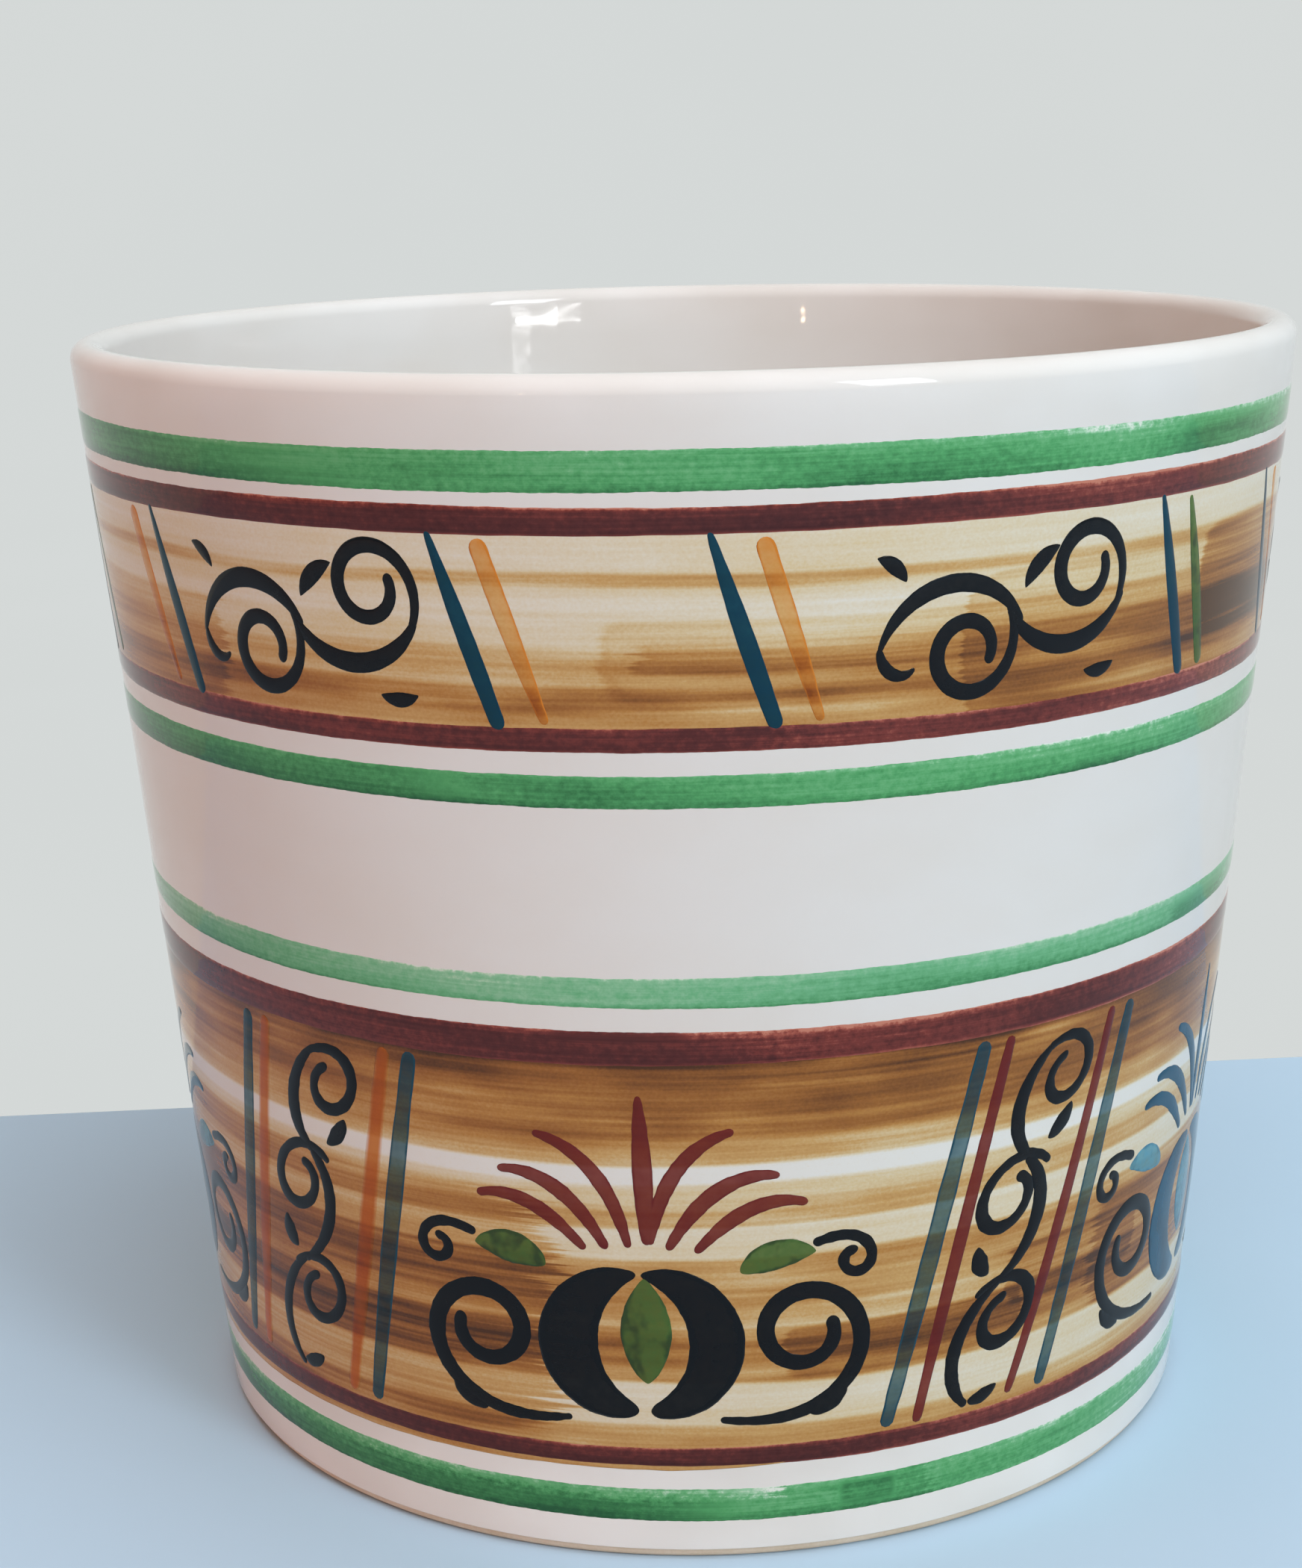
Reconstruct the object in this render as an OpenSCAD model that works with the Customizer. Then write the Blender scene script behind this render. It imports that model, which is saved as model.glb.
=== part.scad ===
// Round ceramic planter: a thrown and turned clay pot with a straight taper,
// white glaze inside and out, hand-banded lines and two painted friezes.
// Origin at the middle of the base, +Z up, front of the pot towards -Y.

/* [Pot] */
// Diameter over the glaze at the top, before the lip is rounded
top_d = 200; // [170:1:260]
// Diameter over the glaze at the foot
base_d = 168; // [140:1:230]
// Overall height
height = 180; // [150:1:260]
// Thickness of the clay wall
wall_t = 4.7; // [3.5:0.1:8]
// Thickness of the clay floor
floor_t = 7; // [4:0.5:14]
// Radius of the curve between floor and wall inside
inside_corner_r = 11; // [6:1:25]
// Thickness of the glaze
glaze_t = 0.4; // [0.2:0.05:0.8]

/* [Foot] */
// Width of the flat ring that the pot stands on
foot_w = 7; // [4:0.5:14]
// Depth of the hollow turned out under the floor
foot_hollow_h = 2.5; // [1:0.25:4]
// Rounding of the foot's outer edge
foot_edge_r = 1.5; // [0.5:0.25:3]
// Height of bare clay below the edge of the glaze
bare_foot_h = 2; // [1:0.25:3.5]

/* [Upper bands] */
// Thickness of one painted layer
paint_t = 0.25; // [0.1:0.05:0.4]
// White zone from the lip down to the first green band
rim_zone_h = 9.8; // [6:0.2:14]
// Width of the first green band
green_1_w = 5.9; // [3:0.1:8]
// White gap below the first green band
green_1_gap = 1.7; // [1:0.1:4]
// Width of the line above the upper frieze
oxblood_1_w = 4.1; // [2:0.1:6]
// Height of the upper frieze
upper_frieze_h = 26.6; // [22:0.2:32]
// Width of the line below the upper frieze
oxblood_2_w = 3.5; // [2:0.1:6]
// White gap above the second green band
green_2_gap = 3.05; // [1:0.05:5]
// Width of the second green band
green_2_w = 5.05; // [3:0.05:8]
// White zone between the second and the third green band
middle_zone_h = 24.9; // [12:0.1:40]

/* [Lower bands] */
// White zone from the table up to the lowest green band
foot_zone_h = 6.8; // [5:0.2:12]
// Width of the lowest green band
green_4_w = 5.8; // [3:0.1:8]
// White gap above the lowest green band
green_4_gap = 3.7; // [1:0.1:5]
// Width of the line below the lower frieze
oxblood_4_w = 3.4; // [2:0.1:6]
// Width of the line above the lower frieze
oxblood_3_w = 5.2; // [2:0.1:7]
// White gap below the third green band
green_3_gap = 3.65; // [1:0.05:5]
// Width of the third green band
green_3_w = 4.75; // [3:0.05:8]

/* [Brush strokes] */
// Width of the teal strokes in the upper frieze
upper_stroke_w = 2.7; // [1.5:0.1:3.5]
// Width of the teal and orange bars in the lower frieze
bar_w = 3.3; // [1.8:0.1:3.6]
// Width of the oxblood bars in the lower frieze
oxblood_bar_w = 2.4; // [1.2:0.1:3]

/* [Hidden] */

clay_color = "#C9A27E";
glaze_color = "#E9EAE7";
green_color = "#4E9A5E";
pale_green_color = "#7FB98D";
oxblood_color = "#5C2C27";
ground_color = "#B98D5C";
teal_color = "#1A4A62";
orange_color = "#C8863C";
leaf_color = "#47663C";
black_color = "#15181C";
sky_color = "#5F9DB4";

// Every quarter or half turn on the pot's profile has this many edges
arc_steps = 12;
// A stroke has at least this many steps, and one more for each of these turns
least_steps = 7;
step_angle = 22;
// Widths of a slanted stroke at its head and foot, as shares of its full width:
// set down on the brush's point, pressed down at once, or drawn long
pointed_shares = [0.3, 0.75];
pressed_shares = [0.95, 0.45];
drawn_shares = [0.7, 0.65];
// Hairline between one coat and the next, so that round faces don't cross
coat_clearance = 0.01;
$fn = 96;

// Radii: the glaze surface is a straight cone from foot to lip
taper = (top_d - base_d) / 2 / height;
coat_w = wall_t + 2 * glaze_t;
lip_r = coat_w / 2;
lip_z = height - lip_r;
function glaze_r(z) = base_d / 2 + taper * z;
function clay_r(z) = glaze_r(z) - glaze_t;
function inside_clay_r(z) = clay_r(z) - wall_t;
lip_mid_r = glaze_r(lip_z) - lip_r;

// Heights of the floor
clay_floor_z = foot_hollow_h + floor_t;
glaze_floor_z = clay_floor_z + glaze_t;

// Heights of the bands, from the lip down to the middle white zone, and from
// the foot up to the lower frieze, which fills what is left between
green_1_top = height - rim_zone_h;
green_1_low = green_1_top - green_1_w;
oxblood_1_top = green_1_low - green_1_gap;
upper_top = oxblood_1_top - oxblood_1_w;
upper_low = upper_top - upper_frieze_h;
oxblood_2_low = upper_low - oxblood_2_w;
green_2_top = oxblood_2_low - green_2_gap;
green_2_low = green_2_top - green_2_w;
green_3_top = green_2_low - middle_zone_h;
green_3_low = green_3_top - green_3_w;
oxblood_3_top = green_3_low - green_3_gap;
lower_top = oxblood_3_top - oxblood_3_w;
green_4_top = foot_zone_h + green_4_w;
oxblood_4_low = green_4_top + green_4_gap;
lower_low = oxblood_4_low + oxblood_4_w;
lower_frieze_h = lower_top - lower_low;
upper_mid_r = glaze_r(upper_low + upper_frieze_h / 2);
lower_mid_r = glaze_r(lower_low + lower_frieze_h / 2);

// Points of an arc about c, from angle a to angle b
function arc(c, r, a, b, steps = arc_steps) =
    [for (i = [0:steps]) c + r * [cos(a + (b - a) * i / steps), sin(a + (b - a) * i / steps)]];

// Outline of the fired clay: foot, wall, round lip, inside wall, floor, hollow
module clay_profile() {
    foot_out_r = clay_r(0);
    foot_in_r = foot_out_r - foot_edge_r - foot_w;
    corner_z = clay_floor_z + inside_corner_r;
    polygon(concat(
        [[0, foot_hollow_h], [foot_in_r - foot_hollow_h, foot_hollow_h], [foot_in_r, 0]],
        arc([foot_out_r - foot_edge_r, foot_edge_r], foot_edge_r, -90, 0, arc_steps / 2),
        arc([lip_mid_r, lip_z], lip_r - glaze_t, 0, 180),
        arc([inside_clay_r(corner_z) - inside_corner_r, corner_z], inside_corner_r, 0, -90),
        [[0, clay_floor_z]]
    ));
}

module clay_body() {
    color(clay_color) rotate_extrude() clay_profile();
}

// Inside coat: from the crown of the lip down the wall and over the floor
module inner_glaze() {
    corner_z = clay_floor_z + inside_corner_r;
    corner_c = [inside_clay_r(corner_z) - inside_corner_r, corner_z];
    color(glaze_color) rotate_extrude() polygon(concat(
        arc([lip_mid_r, lip_z], lip_r, 90, 180, arc_steps / 2),
        arc(corner_c, inside_corner_r - glaze_t, 0, -90),
        [[0, glaze_floor_z], [0, clay_floor_z]],
        arc(corner_c, inside_corner_r, -90, 0),
        arc([lip_mid_r, lip_z], lip_r - glaze_t, 180, 90, arc_steps / 2)
    ));
}

// Outside coat: from the crown of the lip down to the bare foot
module outer_glaze() {
    color(glaze_color) rotate_extrude() polygon(concat(
        arc([lip_mid_r, lip_z], lip_r, 0, 90, arc_steps / 2),
        arc([lip_mid_r, lip_z], lip_r - glaze_t, 90, 0, arc_steps / 2),
        [[clay_r(bare_foot_h), bare_foot_h], [glaze_r(bare_foot_h), bare_foot_h]]
    ));
}

// A layer of paint round the pot between two heights; layer 0 lies on the
// glaze and layer 1 lies on layer 0
module paint_ring(low, top, layer = 0) {
    inner = coat_clearance + layer * (paint_t + coat_clearance);
    outer = inner + paint_t;
    rotate_extrude() polygon([
        [glaze_r(low) + inner, low], [glaze_r(low) + outer, low],
        [glaze_r(top) + outer, top], [glaze_r(top) + inner, top]
    ]);
}

module green_band_1() { color(green_color) paint_ring(green_1_low, green_1_top); }
module green_band_2() { color(green_color) paint_ring(green_2_low, green_2_top); }
module green_band_3() { color(pale_green_color) paint_ring(green_3_low, green_3_top); }
module green_band_4() { color(green_color) paint_ring(foot_zone_h, green_4_top); }
module oxblood_line_1() { color(oxblood_color) paint_ring(upper_top, oxblood_1_top); }
module oxblood_line_2() { color(oxblood_color) paint_ring(oxblood_2_low, upper_low); }
module oxblood_line_3() { color(oxblood_color) paint_ring(lower_top, oxblood_3_top); }
module oxblood_line_4() { color(oxblood_color) paint_ring(oxblood_4_low, lower_low); }
module upper_ground() { color(ground_color) paint_ring(upper_low, upper_top); }
module lower_ground() { color(ground_color) paint_ring(lower_low, lower_top); }

// A brush stroke is a row of shares of its frieze's height and of degrees:
// [x, y, heading, length, turn, curl, start width, middle width, end width].
// The heading at a share t of the length is heading + turn*t + curl*t*t.
function stroke_steps(s) = max(least_steps, ceil((abs(s[4]) + abs(s[5])) / step_angle));
function stroke_t(i, n) = (1 - cos(180 * i / n)) / 2;
function heading(s, t) = s[2] + s[4] * t + s[5] * t * t;
function along(s, t) = [cos(heading(s, t)), sin(heading(s, t))];
function spine(s, n) = [
    for (i = 0, p = [s[0], s[1]]; i <= n;
        p = p + s[3] * (stroke_t(i + 1, n) - stroke_t(i, n))
            * along(s, (stroke_t(i, n) + stroke_t(i + 1, n)) / 2),
        i = i + 1) p
];

// Half width: a quadratic through the three widths, closed round at both ends
function belly(s, t) = s[6] * (1 - t) * (1 - t)
    + 2 * (2 * s[7] - (s[6] + s[8]) / 2) * t * (1 - t) + s[8] * t * t;
function end_share(s, t) = min(1, min(t, 1 - t) * s[3] * 2 / belly(s, t));
function half_w(s, t) = belly(s, t) / 2 * sqrt(1 - pow(1 - end_share(s, t), 2));
function side_point(s, p, t, side) =
    p + side * half_w(s, t) * [-along(s, t)[1], along(s, t)[0]];
function stroke_outline(s) =
    let (n = stroke_steps(s), path = spine(s, n))
    concat(
        [for (i = [0:n]) side_point(s, path[i], stroke_t(i, n), 1)],
        [for (i = [n - 1:-1:1]) side_point(s, path[i], stroke_t(i, n), -1)]
    );
function mirror_stroke(s) = [-s[0], s[1], 180 - s[2], s[3], -s[4], -s[5], s[6], s[7], s[8]];
function both_sides(rows) = concat(rows, [for (s = rows) mirror_stroke(s)]);

// Strokes painted on a frieze about the place at this angle round the pot. One
// unit of the rows is x_angle round the pot and y_share of the frieze's height;
// lean_angle is how much further round the top of the frieze lies than its foot.
module brushwork(rows, angle, low, tall, x_angle, lean_angle = 0, y_share = 1, lift_share = 0) {
    mid_r = glaze_r(low + tall / 2);
    near_r = base_d / 3;
    intersection() {
        rotate([90, 0, angle]) translate([0, low, near_r]) linear_extrude(top_d - near_r) {
            for (s = rows) {
                polygon([for (p = stroke_outline(s))
                    let (y = lift_share + y_share * p[1])
                    [mid_r * sin(x_angle * p[0] + lean_angle * (y - 1 / 2)), y * tall]]);
            }
        }
        paint_ring(low, low + tall, 1);
    }
}

// Angle round the pot that a length covers at this radius
function round_angle(length, r) = length / r * 180 / PI;

// One slanted stroke of width w in a frieze: a row in shares of its height
function slanted(w, tall, mid_r, lean_angle, length_share, end_shares) =
    let (lean_share = lean_angle / round_angle(tall, mid_r))
    [[lean_share * length_share / 2, (1 + length_share) / 2,
        atan2(-length_share, -lean_share * length_share),
        length_share * sqrt(1 + lean_share * lean_share), 0, 0,
        end_shares[0] * w / tall, w / tall, end_shares[1] * w / tall]];

// Paired strokes of the upper frieze: angle of each pair, its second colour and
// the side of the teal stroke on which the second colour lies
upper_angles = [-53, -16.4, 6.4, 48.5, 69.5, 108, 129, 167, 188, 226, 247, 286];
upper_second = ["orange", "orange", "orange", "green", "orange", "orange",
    "green", "orange", "orange", "green", "orange", "green"];
upper_sides = [-1, 1, 1, 1, 1, 1, -1, 1, 1, 1, 1, 1];
upper_half_angle = 2;
upper_lean_angle = -5;
upper_length_share = 0.97;

function side_angle(i, share) = upper_angles[i] + share * upper_sides[i] * upper_half_angle;
function second_angles(name) = [for (i = [0:len(upper_angles) - 1])
    if (upper_second[i] == name) side_angle(i, 1)];

module upper_strokes(angles, end_shares) {
    rows = slanted(upper_stroke_w, upper_frieze_h, upper_mid_r, upper_lean_angle,
        upper_length_share, end_shares);
    for (angle = angles) {
        brushwork(rows, angle, upper_low, upper_frieze_h, round_angle(upper_frieze_h, upper_mid_r));
    }
}

module upper_teal_strokes() {
    color(teal_color) upper_strokes([for (i = [0:len(upper_angles) - 1]) side_angle(i, -1)],
        pointed_shares);
}

module upper_orange_strokes() {
    color(orange_color) upper_strokes(second_angles("orange"), pressed_shares);
}

module upper_green_strokes() {
    color(leaf_color) upper_strokes(second_angles("green"), pointed_shares);
}

// Running scroll of the upper frieze: a waved stem, a spiral in each wave, a
// hook at the foot of the stem and three buds
upper_scroll_shares = [
    [-0.84, 0.34, 76, 1.18, -136, 0, 0.03, 0.12, 0.04],
    [-0.01, 0.52, -60, 1.06, 122, 0, 0.04, 0.12, 0.04],
    [-0.1, 0.66, -46, 1.8, -215, -225, 0.03, 0.1, 0.07],
    [0.74, 0.36, 46, 1.8, 215, 225, 0.03, 0.1, 0.07],
    [-0.84, 0.36, -85, 0.34, 60, 80, 0.03, 0.08, 0.02],
    [0.08, 0.64, 66, 0.34, -50, 0, 0.01, 0.12, 0.01],
    [-0.7, 0.74, 118, 0.24, 50, 0, 0.01, 0.09, 0.01],
    [0.58, 0.1, -20, 0.26, 50, 0, 0.01, 0.09, 0.01]
];
upper_scroll_angles = [-34.6, 27.4, 88.7, 148, 207, 266.5];
upper_scroll_x_angle = 14;
upper_scroll_y_share = 0.92;
upper_scroll_lift_share = 0.04;

module upper_scrolls() {
    color(black_color) for (angle = upper_scroll_angles) {
        brushwork(upper_scroll_shares, angle, upper_low, upper_frieze_h, upper_scroll_x_angle,
            y_share = upper_scroll_y_share, lift_share = upper_scroll_lift_share);
    }
}

// Narrow panels of the lower frieze: each has two bars on either side
narrow_angles = [-42.5, 32.7, 103.5, 174, 245.5];
narrow_colors = ["orange", "oxblood", "orange", "oxblood", "oxblood"];
orange_half_angle = 7.9;
oxblood_half_angle = 6.6;
bar_step_angle = 2.9;
bar_lean_angle = 9.5;
bar_length_share = 0.98;

function half_angle(i) = narrow_colors[i] == "orange" ? orange_half_angle : oxblood_half_angle;
function bar_angles(name) = [for (i = [0:len(narrow_angles) - 1], side = [-1, 1])
    if (narrow_colors[i] == name) narrow_angles[i] + side * half_angle(i)];

module lower_bars(angles, w) {
    rows = slanted(w, lower_frieze_h, lower_mid_r, bar_lean_angle, bar_length_share, drawn_shares);
    for (angle = angles) {
        brushwork(rows, angle, lower_low, lower_frieze_h, round_angle(lower_frieze_h, lower_mid_r));
    }
}

module lower_teal_bars() {
    color(teal_color) lower_bars([for (i = [0:len(narrow_angles) - 1], side = [-1, 1])
        narrow_angles[i] + side * (half_angle(i) + bar_step_angle)], bar_w);
}

module lower_orange_bars() {
    color(orange_color) lower_bars(bar_angles("orange"), bar_w);
}

module lower_oxblood_bars() {
    color(oxblood_color) lower_bars(bar_angles("oxblood"), oxblood_bar_w);
}

// Climbing tendril of the narrow panels: a waved stem, a spiral in each of its
// three waves and three buds
tendril_shares = [
    [-0.01, 0.02, 147, 0.39, -114, 0, 0.015, 0.045, 0.02],
    [-0.01, 0.34, 33, 0.39, 114, 0, 0.02, 0.045, 0.02],
    [-0.01, 0.66, 147, 0.34, -114, 0, 0.02, 0.045, 0.012],
    [-0.06, 0.315, 42, 0.57, -215, -185, 0.02, 0.038, 0.028],
    [0.06, 0.635, 138, 0.57, 215, 185, 0.02, 0.038, 0.028],
    [-0.04, 0.935, 35, 0.5, -215, -170, 0.02, 0.036, 0.026],
    [-0.05, 0.37, 150, 0.1, -50, 0, 0.01, 0.05, 0.01],
    [0.045, 0.69, 30, 0.1, 50, 0, 0.01, 0.05, 0.01],
    [0, 0.035, -5, 0.09, 50, 0, 0.01, 0.045, 0.01]
];
tendril_x_angle = 38;

module tendril_scrolls() {
    color(black_color) for (angle = narrow_angles) {
        brushwork(tendril_shares, angle, lower_low, lower_frieze_h, tendril_x_angle, bar_lean_angle);
    }
}

// Palmette of the wide panels: bulb, scrolls, leaves and a fan of fronds
dark_angles = [-5.5, 138.6, 208.8];
teal_angles = [66.8, 280.5];
palmette_x_angle = 38;
palmette_y_share = 0.95;
palmette_lift_share = 0.02;

bulb_shares = both_sides([[0.012, 0.085, 4, 0.575, 172, 0, 0.03, 0.165, 0.02]]);
scroll_shares = both_sides([
    [0.19, 0.05, -8, 1.16, 80, 410, 0.02, 0.05, 0.036],
    [0.43, 0.545, 20, 0.36, 0, -400, 0.028, 0.034, 0.028],
    [0.42, 0.055, 10, 0.12, 50, 0, 0.01, 0.042, 0.01]
]);
leaf_shares = concat([[0, 0.165, 90, 0.3, 0, 0, 0.02, 0.15, 0.01]], both_sides([
    [0.245, 0.475, 38, 0.2, -50, 0, 0.02, 0.09, 0.01]
]));
frond_shares = concat([[0, 0.55, 90, 0.41, 0, 0, 0.025, 0.052, 0.015]], both_sides([
    [0.035, 0.55, 80, 0.4, -18, -50, 0.02, 0.046, 0.02],
    [0.085, 0.54, 62, 0.37, -14, -60, 0.02, 0.046, 0.02],
    [0.14, 0.53, 50, 0.33, -10, -60, 0.02, 0.042, 0.02]
]));

module wide_panels(rows, angles) {
    for (angle = angles) {
        brushwork(rows, angle, lower_low, lower_frieze_h, palmette_x_angle,
            y_share = palmette_y_share, lift_share = palmette_lift_share);
    }
}

module palmette_bulbs() {
    color(black_color) wide_panels(bulb_shares, dark_angles);
}

module palmette_scrolls() {
    color(black_color) wide_panels(scroll_shares, concat(dark_angles, teal_angles));
}

module palmette_leaves() {
    color(leaf_color) wide_panels(leaf_shares, dark_angles);
}

module palmette_fronds() {
    color(oxblood_color) wide_panels(frond_shares, dark_angles);
}

module teal_palmette_bulbs() {
    color(teal_color) wide_panels(bulb_shares, teal_angles);
}

module teal_palmette_leaves() {
    color(sky_color) wide_panels(leaf_shares, teal_angles);
}

module teal_palmette_fronds() {
    color(teal_color) wide_panels(frond_shares, teal_angles);
}

clay_body();
inner_glaze();
outer_glaze();
green_band_1();
green_band_2();
green_band_3();
green_band_4();
oxblood_line_1();
oxblood_line_2();
oxblood_line_3();
oxblood_line_4();
upper_ground();
lower_ground();
upper_teal_strokes();
upper_orange_strokes();
upper_green_strokes();
upper_scrolls();
lower_teal_bars();
lower_orange_bars();
lower_oxblood_bars();
tendril_scrolls();
palmette_bulbs();
palmette_scrolls();
palmette_leaves();
palmette_fronds();
teal_palmette_bulbs();
teal_palmette_leaves();
teal_palmette_fronds();
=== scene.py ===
"""Hand-painted ceramic planter, dressed over its construction model.

The pot is fired clay under a white glaze. Its bands were laid on a turning
wheel and its two friezes were painted by hand: a brown wash, slanted strokes
in teal, orange, green and oxblood, and black scroll and palmette ornament.
Every painted layer is its own thin piece, wrapped on the pot's cone.
"""

import logging
import math
from dataclasses import dataclass, field, replace
from enum import Enum
from functools import cache
from typing import Any, Iterable, Sequence

import bpy
import numpy as np
from mathutils import Matrix, Vector


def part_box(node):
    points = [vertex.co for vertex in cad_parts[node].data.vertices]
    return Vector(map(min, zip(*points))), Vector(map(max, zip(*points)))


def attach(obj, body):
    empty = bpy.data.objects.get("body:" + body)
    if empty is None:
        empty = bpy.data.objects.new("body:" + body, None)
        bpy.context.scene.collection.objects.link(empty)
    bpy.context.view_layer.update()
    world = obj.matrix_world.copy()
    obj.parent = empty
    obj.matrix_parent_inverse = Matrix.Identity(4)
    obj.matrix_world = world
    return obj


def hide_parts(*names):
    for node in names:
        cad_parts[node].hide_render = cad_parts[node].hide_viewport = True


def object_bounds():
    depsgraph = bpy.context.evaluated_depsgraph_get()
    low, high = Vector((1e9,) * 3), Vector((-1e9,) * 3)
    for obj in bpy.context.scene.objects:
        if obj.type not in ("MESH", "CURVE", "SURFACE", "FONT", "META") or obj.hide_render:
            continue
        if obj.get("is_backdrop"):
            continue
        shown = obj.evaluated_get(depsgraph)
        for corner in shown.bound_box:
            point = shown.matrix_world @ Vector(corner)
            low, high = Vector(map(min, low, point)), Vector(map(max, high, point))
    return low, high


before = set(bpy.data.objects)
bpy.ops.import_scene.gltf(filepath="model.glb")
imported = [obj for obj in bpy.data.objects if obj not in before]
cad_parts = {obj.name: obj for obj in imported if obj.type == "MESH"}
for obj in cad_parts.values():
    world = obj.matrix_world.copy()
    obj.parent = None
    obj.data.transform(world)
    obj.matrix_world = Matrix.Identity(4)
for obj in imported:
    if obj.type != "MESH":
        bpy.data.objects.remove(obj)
CAD_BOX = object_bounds()

LOG = logging.getLogger("planter")
MM = 0.001
PER_METRE = 1000
FULL_TURN = 2 * math.pi
TINY = 1e-6
BODY = "root"

Grid = np.ndarray
Socket = bpy.types.NodeSocket
Tree = bpy.types.NodeTree


class Coat(Enum):
    """Where a coat's edge and its crown lie off the glaze, in mm.

    An edge that starts just inside what carries it has no step, as a coat
    that melted into the glaze has none.
    """

    WASH = (0.01, 0.03)
    BAND = (-0.02, 0.05)
    LINE = (-0.01, 0.07)
    STROKE = (0.02, 0.11)
    ORNAMENT = (0.02, 0.13)


class Slot(Enum):
    """The record's material slots."""

    CLAY = "fired_clay"
    GLAZE = "white_glaze"
    GREEN = "green_colour"
    PALE_GREEN = "pale_green_colour"
    OXBLOOD = "oxblood_colour"
    WASH = "brown_wash"
    TEAL = "teal_colour"
    ORANGE = "orange_colour"
    LEAF_GREEN = "leaf_green_colour"
    BLACK = "black_colour"
    SKY = "sky_blue_colour"


def linear(code: str) -> tuple[float, float, float, float]:
    """Turns an sRGB hex colour into linear light.

    Args:
        code: the colour as "#RRGGBB".

    Returns:
        Red, green, blue and a full alpha, linear.
    """
    parts = np.array([int(code[i : i + 2], 16) for i in (1, 3, 5)]) / 255
    light = np.where(parts <= 0.04045, parts / 12.92, ((parts + 0.055) / 1.055) ** 2.4)
    return (*(float(v) for v in light), 1.0)


def add(tree: Tree, kind: str, inputs: dict | None = None, stops: Sequence = (),
        out: str | None = None, **settings: Any) -> Socket | None:
    """Adds one shader node with its settings and links.

    Args:
        tree: the node tree that it goes into.
        kind: the node's type, without the words "ShaderNode" in front.
        inputs: sockets to link and plain values to set, by name or number.
        stops: for a colour ramp, each place with a hex colour or a grey value.
        out: name of the output wanted, or else the first one in use.
        **settings: properties of the node.

    Returns:
        The output socket, or None for a node without one.
    """
    node = tree.nodes.new(kind if kind.startswith("Node") else "ShaderNode" + kind)
    for name, value in settings.items():
        setattr(node, name, value)
    for key, value in (inputs or {}).items():
        named = [s for s in node.inputs if s.enabled and s.name == key]
        socket = node.inputs[key] if isinstance(key, int) else named[0]
        if isinstance(value, Socket):
            tree.links.new(value, socket)
        else:
            socket.default_value = value
    if stops:
        ramp = node.color_ramp
        while len(ramp.elements) < len(stops):
            ramp.elements.new(1.0)
        for element, (place, tone) in zip(ramp.elements, stops):
            element.position = place
            element.color = linear(tone) if isinstance(tone, str) else (tone, tone, tone, 1.0)
    if not node.outputs:
        return None
    return node.outputs[out] if out else next(s for s in node.outputs if s.enabled)


@dataclass(frozen=True)
class Cone:
    """The pot's outer glaze surface: a straight cone with a hand-made unevenness."""

    base_radius: float = 84 * MM
    top_radius: float = 100 * MM
    height: float = 180 * MM
    uneven: float = 0.25 * MM

    def radius(self, z: Any) -> Any:
        """Radius at a height: base radius plus the taper times the height."""
        return self.base_radius + (self.top_radius - self.base_radius) * z / self.height

    def dip(self, angle: Any, z: Any) -> Any:
        """Inward unevenness: three slow waves round the pot and up it, never outward."""
        share = z / self.height
        wave = np.sin(2 * angle + 3 * share) + 0.6 * np.sin(3 * angle - 7 * share + 1)
        wave = wave + 0.5 * np.sin(5 * angle + 13 * share + 2)
        return self.uneven * (wave / 2.1 - 1) / 2

    def place(self, angle: Any, z: Any, lift: Any = 0.0) -> Grid:
        """Points on the surface.

        The point is the radius times the sine and minus the cosine of the
        angle, and the height; the radius is the cone's with its dip and lift.

        Args:
            angle: angle round the pot, 0 at the front and growing to +X.
            z: height above the table.
            lift: distance outside the glaze surface.

        Returns:
            An array of x, y, z.
        """
        angle, z, lift = np.broadcast_arrays(angle, z, lift)
        r = self.radius(z) + self.dip(angle, z) + lift
        return np.stack([r * np.sin(angle), -r * np.cos(angle), z], axis=-1)


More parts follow.
